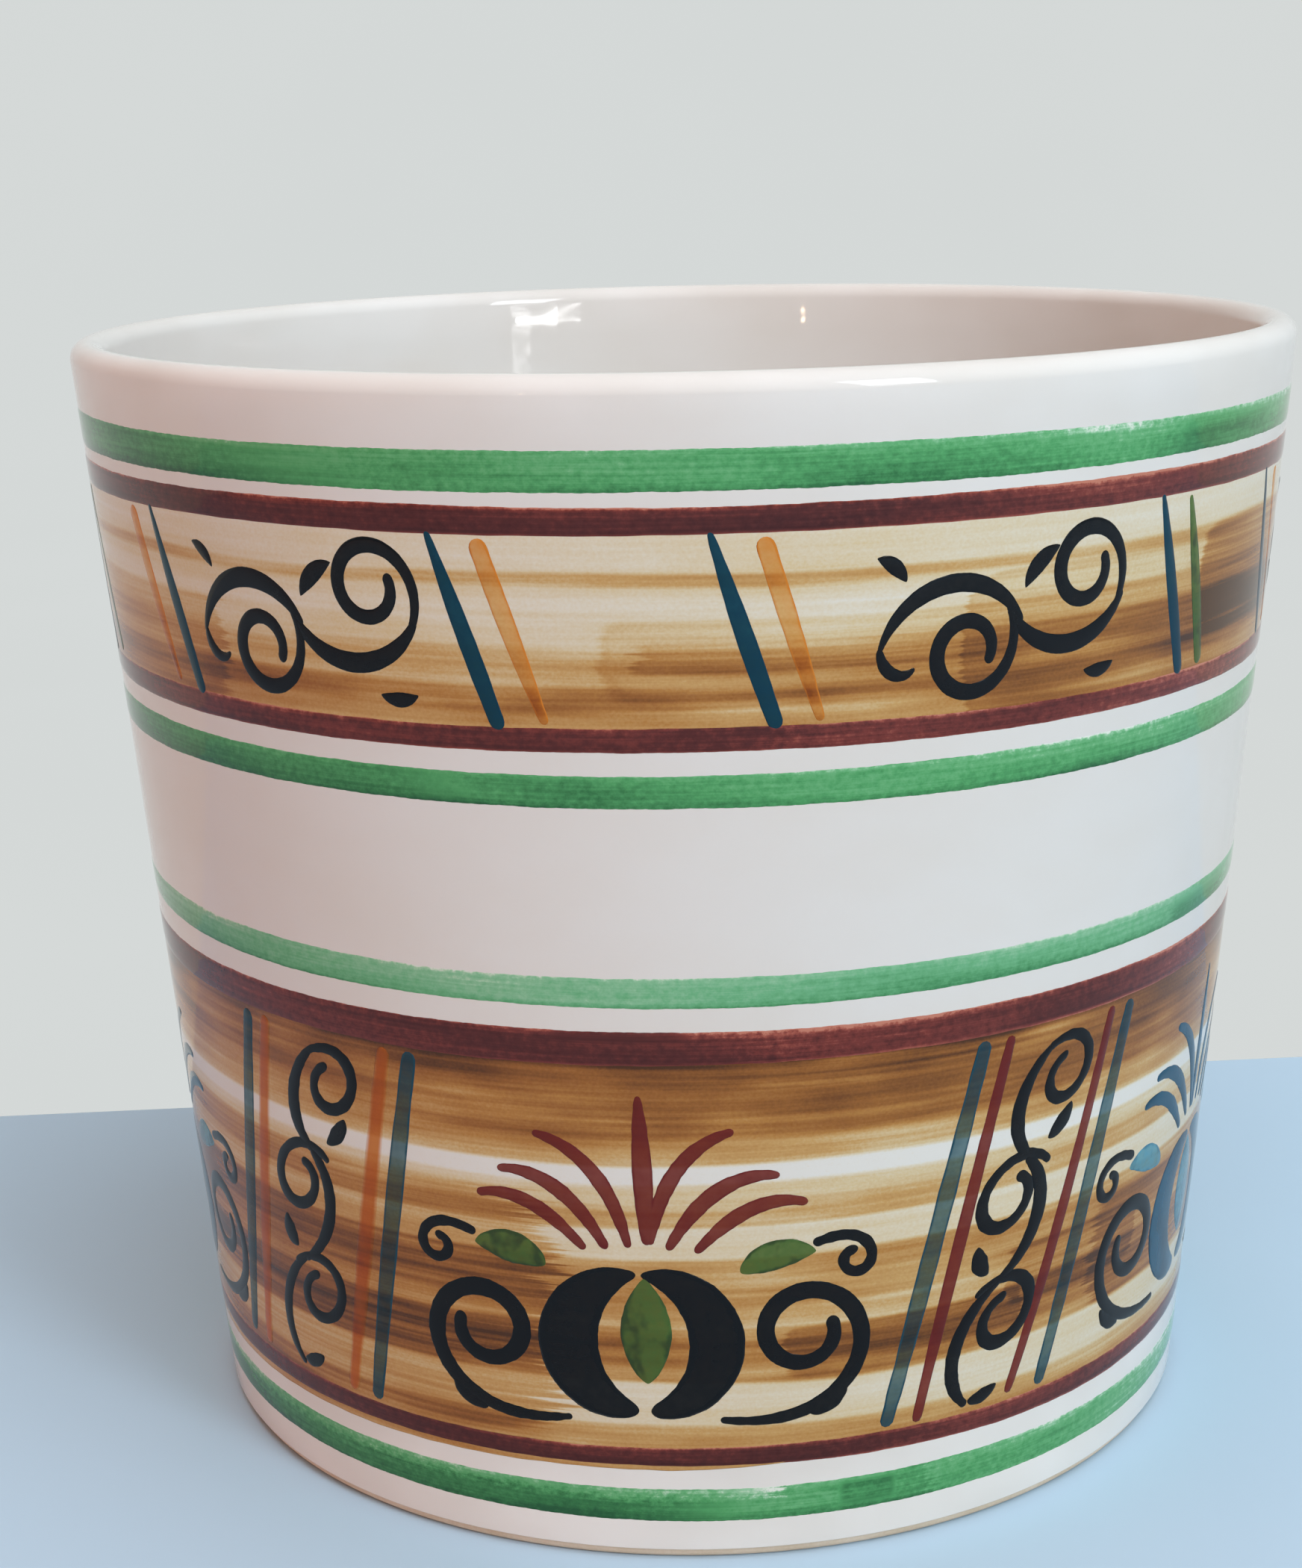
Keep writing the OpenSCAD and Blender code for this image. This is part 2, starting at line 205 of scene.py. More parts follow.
@dataclass
class Shell:
    """Closed surfaces worked out on grids and gathered into one mesh."""

    name: str
    points: list = field(default_factory=list)
    corners: list = field(default_factory=list)
    sizes: list = field(default_factory=list)
    uvs: list = field(default_factory=list)
    count: int = 0

    def add_grid(self, grid: Grid, uv: Grid, wrap_rows: bool = False, poles: bool = False) -> None:
        """Adds one closed surface from a grid whose columns always wrap.

        Each cell of the grid is a face. Its corners are turned round when the
        surface's signed volume, the sum over its faces of a . (b x c + c x d),
        is negative, so faces point outwards.

        Args:
            grid: points in rows and columns.
            uv: one more column, and one more row if the rows wrap, than the grid.
            wrap_rows: joins the last row to the first.
            poles: the first and the last row each hold one point, repeated.
        """
        rows, columns = grid.shape[:2]
        steps = rows if wrap_rows else rows - 1
        i, j = np.meshgrid(np.arange(steps), np.arange(columns), indexing="ij")
        turn = np.array([(0, 0), (1, 0), (1, 1), (0, 1)])
        row = i[..., None] + turn[:, 0]
        column = j[..., None] + turn[:, 1]
        index = (row % rows) * columns + column % columns
        if poles:
            index = np.where(row == 0, 0, index)
            index = np.where(row == rows - 1, (rows - 1) * columns, index)
        index = index.reshape(-1, 4)
        corner_uv = uv[row, column].reshape(-1, 4, 2)
        flat = grid.reshape(-1, 3)
        a, b, c, d = (flat[index[:, k]] for k in range(4))
        if np.einsum("ij,ij->", a, np.cross(b, c) + np.cross(c, d)) < 0:
            index, corner_uv = index[:, ::-1], corner_uv[:, ::-1]
        keep = index != np.roll(index, 1, axis=1)
        used, packed = np.unique(index[keep], return_inverse=True)
        self.points.append(flat[used])
        self.corners.append(packed + self.count)
        self.sizes.append(keep.sum(axis=1))
        self.uvs.append(corner_uv[keep])
        self.count += len(used)

    def build(self, paint: "Paint", *nodes: str) -> None:
        """Args:
            paint: the finish of the whole piece.
            *nodes: the CAD nodes that the piece stands for.
        """
        points, corners = np.concatenate(self.points), np.concatenate(self.corners)
        starts = np.concatenate([[0], np.cumsum(np.concatenate(self.sizes))[:-1]])
        mesh = bpy.data.meshes.new(self.name)
        mesh.vertices.add(len(points))
        mesh.vertices.foreach_set("co", points.astype(np.float32).ravel())
        mesh.loops.add(len(corners))
        mesh.loops.foreach_set("vertex_index", corners.astype(np.int32))
        mesh.polygons.add(len(starts))
        mesh.polygons.foreach_set("loop_start", starts.astype(np.int32))
        uv_map = mesh.uv_layers.new(name="UVMap")
        uv_map.uv.foreach_set("vector", np.concatenate(self.uvs).astype(np.float32).ravel())
        mesh.update(calc_edges=True)
        mesh.validate()
        mesh.shade_smooth()
        mesh.materials.append(paint.value.material())
        piece = bpy.data.objects.new(self.name, mesh)
        bpy.context.scene.collection.objects.link(piece)
        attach(piece, BODY)
        if nodes:
            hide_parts(*nodes)
        LOG.info("%s: %d faces", self.name, len(starts))


def arc(centre: Sequence[float], radius: float, start: float, end: float, steps: int = 16) -> Grid:
    """Points of an arc in the profile plane, with angles in degrees."""
    a = np.radians(np.linspace(start, end, steps + 1))
    return np.stack([centre[0] + radius * np.cos(a), centre[1] + radius * np.sin(a)], -1)


def straight(start: Sequence[float], end: Sequence[float], steps: int) -> Grid:
    """Evenly spaced points between two profile points, without the two ends."""
    share = np.linspace(0, 1, steps + 1)[1:-1, None]
    return np.array(start) * (1 - share) + np.array(end) * share


def ripple(rng: np.random.Generator, share: Grid, waves: Sequence[int]) -> Grid:
    """A smooth tremor of the hand: sines of whole wave counts with drawn phases.

    Args:
        rng: draws the phases and the strengths.
        share: where along the edge, from 0 to 1.
        waves: how many waves each sine has over the edge.

    Returns:
        Values that mostly lie between -1 and 1.
    """
    phase = rng.uniform(0, FULL_TURN, len(waves))
    strength = rng.uniform(0.5, 1, len(waves))
    angle = FULL_TURN * np.array(waves) * share[..., None] + phase
    return (strength * np.sin(angle)).sum(axis=-1) / math.sqrt(len(waves))


@dataclass(frozen=True)
class Ring:
    """A band laid round the turning pot, with two unsteady edges.

    Each edge sways slowly as the hand moves and trembles quickly as the wheel
    turns. Between the two angles of drawn_up, in degrees, the lower edge lies
    close under the upper one, and it rises there over fade_degrees.
    """

    low: float
    top: float
    coat: Coat
    sway: float = 0.14 * MM
    sway_waves: Sequence[int] = (2, 3, 5, 7)
    tremble: float = 0.05 * MM
    tremble_waves: Sequence[int] = (23, 41, 67, 97)
    hem: float = 0.1 * MM
    drawn_up: tuple[float, float] | None = None
    fade_degrees: float = 26.0

    @classmethod
    def of(cls, node: str, coat: Coat) -> "Ring":
        """The ring whose heights are those of a CAD node."""
        low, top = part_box(node)
        return cls(low[2], top[2], coat)

    def add_to(self, shell: Shell, cone: Cone, rng: np.random.Generator,
               around: int = 720, across: int = 8) -> None:
        """Adds the ring, whose lift is a flat crown that falls off at both edges.

        The height is the lower edge plus v times the width, and the lift is the
        underside plus the crown times 9 v (1 - v), at most 1. A narrow hem keeps
        the bend of the shading at the very edge. Where the band is drawn up, the
        lower edge rises to two hems below the upper one, by a smooth step.

        Args:
            shell: receives the surface.
            cone: the surface that it lies on.
            rng: draws the edges.
            around: columns round the pot.
            across: steps from the lower edge to the upper one.
        """
        share = np.arange(around) / around
        edges = []
        for z in (self.low, self.top):
            sway = self.sway * ripple(rng, share, self.sway_waves)
            edges.append(z + sway + self.tremble * ripple(rng, share, self.tremble_waves))
        if self.drawn_up:
            first, last = self.drawn_up
            centre, half = (first + last) / 2, (last - first) / 2
            away = np.abs((share * 360 - centre) % 360 - 180)
            ease = np.clip((half - away) / self.fade_degrees + 0.5, 0, 1)
            edges[0] += ease**2 * (3 - 2 * ease) * (edges[1] - edges[0] - 2 * self.hem)
        under, crown = (v * MM for v in self.coat.value)
        hem = self.hem / (self.top - self.low)
        v = (1 - np.cos(np.linspace(0, math.pi, across + 1))) / 2
        v = np.concatenate([[0, hem], v[1:-1], [1 - hem, 1]])
        rise = under + (crown - under) * np.clip(9 * v * (1 - v), 0, 1)
        lift = np.concatenate([rise, np.full(len(v) - 2, under)])
        v = np.concatenate([v, v[-2:0:-1]])
        z = edges[0] + (edges[1] - edges[0]) * v[:, None]
        grid = cone.place(share[None] * FULL_TURN - math.pi, z, lift[:, None])
        turn = np.linspace(0, 1, around + 1)
        uv = np.stack(np.broadcast_arrays(turn[None], np.append(v, v[0])[:, None]), -1)
        shell.add_grid(grid, uv, wrap_rows=True)


@dataclass(frozen=True)
class Stroke:
    """One pull of the brush, in shares of its frieze's height and in degrees.

    It starts at x and y. The heading at a share t of the length is heading +
    turn t + curl t squared. Start, middle and end are its widths there.
    """

    x: float
    y: float
    heading: float
    length: float
    turn: float
    curl: float
    start: float
    middle: float
    end: float

    def mirrored(self) -> "Stroke":
        """The same stroke on the other side of the ornament's middle line."""
        return replace(self, x=-self.x, heading=180 - self.heading, turn=-self.turn,
                       curl=-self.curl)

    def repeated(self, rng: np.random.Generator, aside: float = 0.006, above: float = 0.004,
                 turned: float = 1.2, longer: float = 0.012, wider: float = 0.06) -> "Stroke":
        """The stroke as a hand repeats it: moved, turned and swelled a little.

        Each change is drawn from a bell curve, whose spread is given here.

        Args:
            rng: draws the changes.
            aside: spread of x.
            above: spread of y.
            turned: spread of the heading, in degrees.
            longer: spread of the length, as a share of it.
            wider: spread of the middle width, as a share of it.

        Returns:
            The changed stroke.
        """
        return replace(self, x=self.x + aside * rng.normal(), y=self.y + above * rng.normal(),
                       heading=self.heading + turned * rng.normal(),
                       length=self.length * (1 + longer * rng.normal()),
                       middle=self.middle * (1 + wider * rng.normal()))

    def outline(self, steps: int, rng: np.random.Generator, tremble: float,
                waves: Sequence[float] = (5, 9, 17, 29)) -> tuple[Grid, Grid, Grid, Grid]:
        """Works out the middle line, the direction to its side and the half width.

        The half width is a quadratic through the three widths, closed round at
        both ends as a circle is, plus the hand's tremor.

        Args:
            steps: pieces along the stroke, finer towards both ends.
            rng: draws the tremor of the width.
            tremble: how far the edges wander, as a share of the frieze's height.
            waves: how many waves of the tremor the frieze's height would hold.

        Returns:
            The share along the stroke, the spine, the unit sideways direction
            and the half width.
        """
        t = (1 - np.cos(math.pi * np.arange(steps + 1) / steps)) / 2
        middle = (t[1:] + t[:-1]) / 2
        toward = np.radians(self.heading + self.turn * middle + self.curl * middle**2)
        path = np.stack([np.cos(toward), np.sin(toward)], -1) * (np.diff(t) * self.length)[:, None]
        spine = np.array([self.x, self.y]) + np.concatenate([np.zeros((1, 2)), np.cumsum(path, 0)])
        heading = np.radians(self.heading + self.turn * t + self.curl * t**2)
        side = np.stack([-np.sin(heading), np.cos(heading)], -1)
        swell = 2 * self.middle - (self.start + self.end) / 2
        width = self.start * (1 - t) ** 2 + 2 * swell * t * (1 - t) + self.end * t**2
        cap = np.clip(np.minimum(t, 1 - t) * self.length * 2 / np.maximum(width, TINY), 0, 1)
        half = width / 2 * np.sqrt(1 - (1 - cap) ** 2)
        whole = [math.ceil(self.length * w) for w in waves]
        half = half + tremble * cap * ripple(rng, t, whole)
        return t, spine, side, np.maximum(half, 0)


def both_sides(strokes: Iterable[Stroke]) -> list[Stroke]:
    """The strokes and their mirror images."""
    kept = list(strokes)
    return kept + [s.mirrored() for s in kept]


@dataclass(frozen=True)
class Patch:
    """Where an ornament is painted: its place on the cone and its stretch.

    The drawing's unit covers x_angle degrees across and y_share of the zone's
    height. The drawing is raised by lift_share of that height, and leans by
    lean_angle from its foot to its top. A stroke has one more step for every
    bend_per_step degrees that it bends.
    """

    angle: float
    low: float
    tall: float
    x_angle: float
    lean_angle: float = 0.0
    y_share: float = 1.0
    lift_share: float = 0.0
    fewest_steps: int = 26
    most_steps: int = 110
    bend_per_step: float = 6.0

    def paint(self, shell: Shell, cone: Cone, stroke: Stroke, coat: Coat,
              rng: np.random.Generator, tremble: float = 0.0012, around: int = 12) -> None:
        """Adds one stroke as a low pillow wrapped on the cone.

        Across the stroke a point goes round: the cosine of its turn gives the
        place between the edges, and the sine squared the lift, a low parabola.
        The flat drawing is then projected on the cone, so a point's angle is
        the arcsine of its drawn distance from the middle over the cone's radius.

        Args:
            shell: receives the surface.
            cone: the surface that it lies on.
            stroke: the pull of the brush.
            coat: how high it stands.
            rng: draws the tremor.
            tremble: how far the edges wander, as a share of the frieze's height.
            around: columns round the section.
        """
        bend = abs(stroke.turn) + abs(stroke.curl)
        steps = min(int(self.fewest_steps + bend / self.bend_per_step), self.most_steps)
        t, spine, side, half = stroke.outline(steps, rng, tremble)
        phi = np.arange(around) / around * FULL_TURN
        flat = spine[:, None] + side[:, None] * (half[:, None] * np.cos(phi))[..., None]
        y = self.lift_share + self.y_share * flat[..., 1]
        z = self.low + y * self.tall
        drawn = np.radians(self.x_angle * flat[..., 0] + self.lean_angle * (y - 0.5))
        reach = cone.radius(self.low + self.tall / 2) * np.sin(drawn) / cone.radius(z)
        under, crown = (v * MM for v in coat.value)
        full = np.clip(2 * half / half.max(), 0, 1)[:, None]
        lift = under + (crown - under) * np.clip(np.sin(phi), 0, 1) ** 2 * full
        grid = cone.place(np.radians(self.angle) + np.arcsin(reach), z, lift)
        across = np.append(np.cos(phi), 1) / 2 + 0.5
        uv = np.stack(np.broadcast_arrays(across[None], t[:, None]), -1)
        shell.add_grid(grid, uv, poles=True)


@dataclass(frozen=True)
class Spot:
    """Where a shaded point lies on the pot, as sockets of one node tree."""

    tree: Tree
    place: Socket
    angle: Socket
    height: Socket

    @classmethod
    def of(cls, tree: Tree) -> "Spot":
        """Angle round the pot in degrees, 0 at the front, and height in mm."""
        place = add(tree, "TexCoord", out="Object")
        parts = add(tree, "SeparateXYZ", {0: place}).node.outputs
        back = add(tree, "Math", {0: parts["Y"], 1: -1.0}, operation="MULTIPLY")
        turn = add(tree, "Math", {0: parts["X"], 1: back}, operation="ARCTAN2")
        angle = add(tree, "Math", {0: turn}, operation="DEGREES")
        height = add(tree, "Math", {0: parts["Z"], 1: PER_METRE}, operation="MULTIPLY")
        return cls(tree, place, angle, height)

    def grain(self, long_mm: float, tall_mm: float, detail: float = 2.0,
              rough: float = 0.6) -> Socket:
        """Noise about 0.5 whose spots are long_mm round the pot and tall_mm high."""
        scale = (PER_METRE / long_mm, PER_METRE / long_mm, PER_METRE / tall_mm)
        drawn = add(self.tree, "VectorMath", {0: self.place, 1: scale}, operation="MULTIPLY")
        return add(self.tree, "TexNoise",
                   {"Vector": drawn, "Scale": 1.0, "Detail": detail, "Roughness": rough})

    def sum(self, start: Any, *terms: tuple[Socket, float]) -> Socket:
        """Start plus each term's socket times its weight."""
        total = start
        for socket, weight in terms:
            total = add(self.tree, "Math", {0: socket, 1: weight, 2: total},
                        operation="MULTIPLY_ADD")
        return total

    def stir(self, start: Any, *noises: tuple[Socket, float]) -> Socket:
        """Start, shifted both ways by noises about 0.5: each less 0.5, times its weight."""
        middle = sum(weight for _, weight in noises) / 2
        if isinstance(start, Socket):
            return self.sum(-middle, (start, 1.0), *noises)
        return self.sum(start - middle, *noises)


@dataclass(frozen=True)
class Swipe:
    """A pull of the brush round the pot that begins and ends rounded and ragged.

    Angles are in degrees and lengths in mm. Inside it the weight is added to the
    wash's depth of colour, which darkens it, or to a band's tone, which thins it.
    """

    centre: float
    half: float
    low: float
    top: float
    weight: float
    soft: float = 1.5
    ragged: float = 10.0
    mm_per_degree: float = 1.6

    def mask(self, spot: Spot, hair: Socket, shake: Socket) -> Socket:
        """How far inside the swipe a point lies, from 0 to 1.

        The distance to the nearer end, which each hair of the brush reaches
        differently, and the distance to the nearer long edge are joined by a
        smooth minimum, shaken, and eased over the softness.

        Args:
            spot: the shaded point.
            hair: noise about 0.5 in lines round the pot.
            shake: noise about 0.5.

        Returns:
            The mask as a socket.
        """
        tree = spot.tree
        away = add(tree, "Math", {0: spot.angle, 1: -self.centre}, operation="ADD")
        away = add(tree, "Math", {0: away, 1: 180.0, 2: -180.0}, operation="WRAP")
        away = add(tree, "Math", {0: away}, operation="ABSOLUTE")
        end = spot.sum(self.half * self.mm_per_degree - self.ragged / 2,
                       (away, -self.mm_per_degree), (hair, self.ragged))
        rise = add(tree, "Math", {0: spot.height, 1: -(self.low + self.top) / 2}, operation="ADD")
        rise = add(tree, "Math", {0: rise}, operation="ABSOLUTE")
        side = spot.sum((self.top - self.low) / 2, (rise, -1.0))
        inside = add(tree, "Math", {0: end, 1: side, 2: (self.top - self.low) / 2},
                     operation="SMOOTH_MIN")
        inside = spot.sum(inside, (shake, 2 * self.soft))
        return add(tree, "MapRange", {"Value": inside, "From Min": self.soft / 2,
                                      "From Max": 2 * self.soft},
                   interpolation_type="SMOOTHSTEP")


class Finish:
    """A surface of the pot: one shader whose colour and relief are worked out at each point."""

    name: str
    slot: Slot
    roughness: float
    ior: float

    def dress(self, tree: Tree) -> tuple[Socket, Socket | None]:
        """Works out the surface at a shaded point.

        Args:
            tree: the material's node tree.

        Returns:
            The colour, and the bumped normal where the surface has a relief.
        """
        raise NotImplementedError

    @cache
    def material(self) -> bpy.types.Material:
        """The finish as a Blender material, made once."""
        made = bpy.data.materials.new(self.name)
        made.use_nodes = True
        tree = made.node_tree
        shader = tree.nodes["Principled BSDF"]
        colour, normal = self.dress(tree)
        tree.links.new(colour, shader.inputs["Base Color"])
        if normal is not None:
            tree.links.new(normal, shader.inputs["Normal"])
        shader.inputs["Roughness"].default_value = self.roughness
        shader.inputs["IOR"].default_value = self.ior
        return made


@dataclass(frozen=True)
class ClayFinish(Finish):
    """Buff earthenware, thrown and turned: bare, matt and slightly sandy."""

    name: str = "fired_earthenware"
    slot: Slot = Slot.CLAY
    light: str = "#E6DCCD"
    dark: str = "#D0BEA4"
    roughness: float = 0.85
    ior: float = 1.5
    cloud_mm: tuple[float, float] = (9.0, 5.0)
    cloud_share: float = 1.2
    sand_mm: float = 0.5
    sand_share: float = 0.6
    sand_depth: float = 0.3 * MM
    sand_strength: float = 0.3

    def dress(self, tree: Tree) -> tuple[Socket, Socket | None]:
        """Buff and tan clouds with sandy grain."""
        spot = Spot.of(tree)
        clouds = spot.grain(*self.cloud_mm)
        sand = spot.grain(self.sand_mm, self.sand_mm)
        tone = spot.stir(0.5, (clouds, self.cloud_share), (sand, self.sand_share))
        colour = add(tree, "Mix", {"Factor": tone, "A": linear(self.light), "B": linear(self.dark)},
                     data_type="RGBA")
        return colour, add(tree, "Bump", {"Height": sand, "Strength": self.sand_strength,
                                          "Distance": self.sand_depth})


@dataclass(frozen=True)
class GlazeFinish(Finish):
    """White tin glaze, dipped: glossy, a little uneven, with a few pinholes."""

    name: str = "tin_glaze"
    slot: Slot = Slot.GLAZE
    # Share of the pot's height and tone: lighter towards the lip, and lighter at the foot, where
    # the tone is painted light standing in for the table's bounce
    tones: Sequence[tuple[float, str]] = (
        (0.0, "#F0F0EE"), (0.07, "#EDEDEB"), (0.14, "#DEDEDC"), (0.85, "#DEDEDC"),
        (0.95, "#E0E0DE"), (1.0, "#EBEBE9"),
    )
    tall_mm: float = 180.0
    roughness: float = 0.035
    ior: float = 1.5
    warm: str = "#DAD7D1"
    warm_share: float = 0.5
    cloud_mm: tuple[float, float] = (35.0, 20.0)
    cloud_range: tuple[float, float] = (0.35, 0.65)
    speck: str = "#54463A"
    # Radius of a speck, the shares of it over which its edge fades, and the cell for each
    speck_mm: float = 0.28
    speck_fade: tuple[float, float] = (0.5, 1.5)
    speck_cell_mm: float = 14.0
    # A cell whose random value lies between these has a faint speck, and over them a full one
    rare_range: tuple[float, float] = (0.6, 0.8)
    ripple_mm: tuple[float, float] = (13.5, 9.0)
    ripple_depth: float = 2 * MM
    ripple_strength: float = 0.03

    def dress(self, tree: Tree) -> tuple[Socket, Socket | None]:
        """Pale glaze with slow warm clouds, rare dark specks and soft waves.

        A ramp over the height gives the tone, a noise of a few centimetres the
        clouds, and a cell pattern, of which few cells count, the specks.
        """
        spot = Spot.of(tree)
        share = add(tree, "Math", {0: spot.height, 1: self.tall_mm}, operation="DIVIDE")
        tone = add(tree, "ValToRGB", {0: share}, stops=self.tones)
        low, high = self.cloud_range
        clouds = add(tree, "MapRange", {"Value": spot.grain(*self.cloud_mm), "From Min": low,
                                        "From Max": high, "To Max": self.warm_share})
        tint = add(tree, "Mix", {"Factor": clouds, "A": tone, "B": linear(self.warm)},
                   data_type="RGBA")
        cells = add(tree, "TexVoronoi", {"Vector": spot.place,
                                         "Scale": PER_METRE / self.speck_cell_mm}).node.outputs
        full, none = (share * self.speck_mm / self.speck_cell_mm for share in self.speck_fade)
        dot = add(tree, "MapRange", {"Value": cells["Distance"], "From Min": none,
                                     "From Max": full})
        low, high = self.rare_range
        rare = add(tree, "MapRange", {"Value": cells["Color"], "From Min": low, "From Max": high})
        mark = add(tree, "Math", {0: dot, 1: rare}, operation="MULTIPLY")
        colour = add(tree, "Mix", {"Factor": mark, "A": tint, "B": linear(self.speck)},
                     data_type="RGBA")
        waves = spot.grain(*self.ripple_mm, detail=1.0)
        return colour, add(tree, "Bump", {"Height": waves, "Strength": self.ripple_strength,
                                          "Distance": self.ripple_depth})


class Tones(Enum):
    """Colours of a band, from the deepest pool, 0, to the thinnest film, 1."""

    GREEN = ((0.0, "#235D37"), (0.25, "#367C49"), (0.5, "#4F9F62"), (0.72, "#69B27A"),
             (0.88, "#9CCDA8"), (1.0, "#E0E8DF"))
    PALE = ((0.0, "#3A8251"), (0.25, "#549D6A"), (0.5, "#6CB283"), (0.75, "#8BC19B"),
            (0.88, "#AFD1B5"), (1.0, "#D6DED6"))
    OXBLOOD = ((0.0, "#2F100F"), (0.3, "#441A18"), (0.5, "#562420"), (0.7, "#74332C"),
               (0.88, "#9C5244"), (1.0, "#BC7A66"))


class Profile(Enum):
    """Which tone lies where across a band, from its lower edge, 0, to its upper one, 1."""

    EVEN = ((0.0, 0.16), (0.08, 0.3), (0.25, 0.44), (0.6, 0.52), (0.85, 0.6), (0.95, 0.72),
            (1.0, 0.88))
    LINED = ((0.0, 0.85), (0.05, 0.62), (0.12, 0.44), (0.8, 0.5), (0.92, 0.66), (1.0, 0.95))


@dataclass(frozen=True)
class BandFinish(Finish):
    """Glaze colour laid with a loaded brush while the pot turns.

    The profile says which tone lies where across the band, and the swipes
    shift it where the brush was lifted or loaded anew.
    """

    name: str
    slot: Slot
    tones: Tones
    profile: Profile
    swipes: Sequence[Swipe] = ()
    roughness: float = 0.06
    ior: float = 1.35
    # How far the edges fray, as a share of the band's width, and how much of that is mottled
    fray: float = 0.3
    mottled_fray: float = 0.4
    pull_mm: tuple[float, float] = (45.0, 6.0)
    pull_share: float = 0.6
    bristle_mm: tuple[float, float] = (25.0, 0.5)
    bristle_share: float = 0.5
    mottle_mm: tuple[float, float] = (1.3, 1.04)
    mottle_share: float = 0.6

    def dress(self, tree: Tree) -> tuple[Socket, Socket | None]:
        """Tones across the band, shifted by slow pulls, hair lines and mottling."""
        spot = Spot.of(tree)
        across = add(tree, "SeparateXYZ", {0: add(tree, "TexCoord", out="UV")}, out="Y")
        pull = spot.grain(*self.pull_mm, detail=1.0)
        bristle = spot.grain(*self.bristle_mm)
        mottle = spot.grain(*self.mottle_mm, detail=3.0, rough=0.7)
        edge = spot.stir(across, (pull, self.fray), (mottle, self.mottled_fray * self.fray))
        tone = add(tree, "ValToRGB", {0: edge}, stops=self.profile.value)
        tone = spot.stir(tone, (bristle, self.bristle_share), (mottle, self.mottle_share),
                         (pull, self.pull_share))
        for swipe in self.swipes:
            tone = spot.sum(tone, (swipe.mask(spot, bristle, mottle), swipe.weight))
        return add(tree, "ValToRGB", {0: tone}, stops=self.tones.value), None


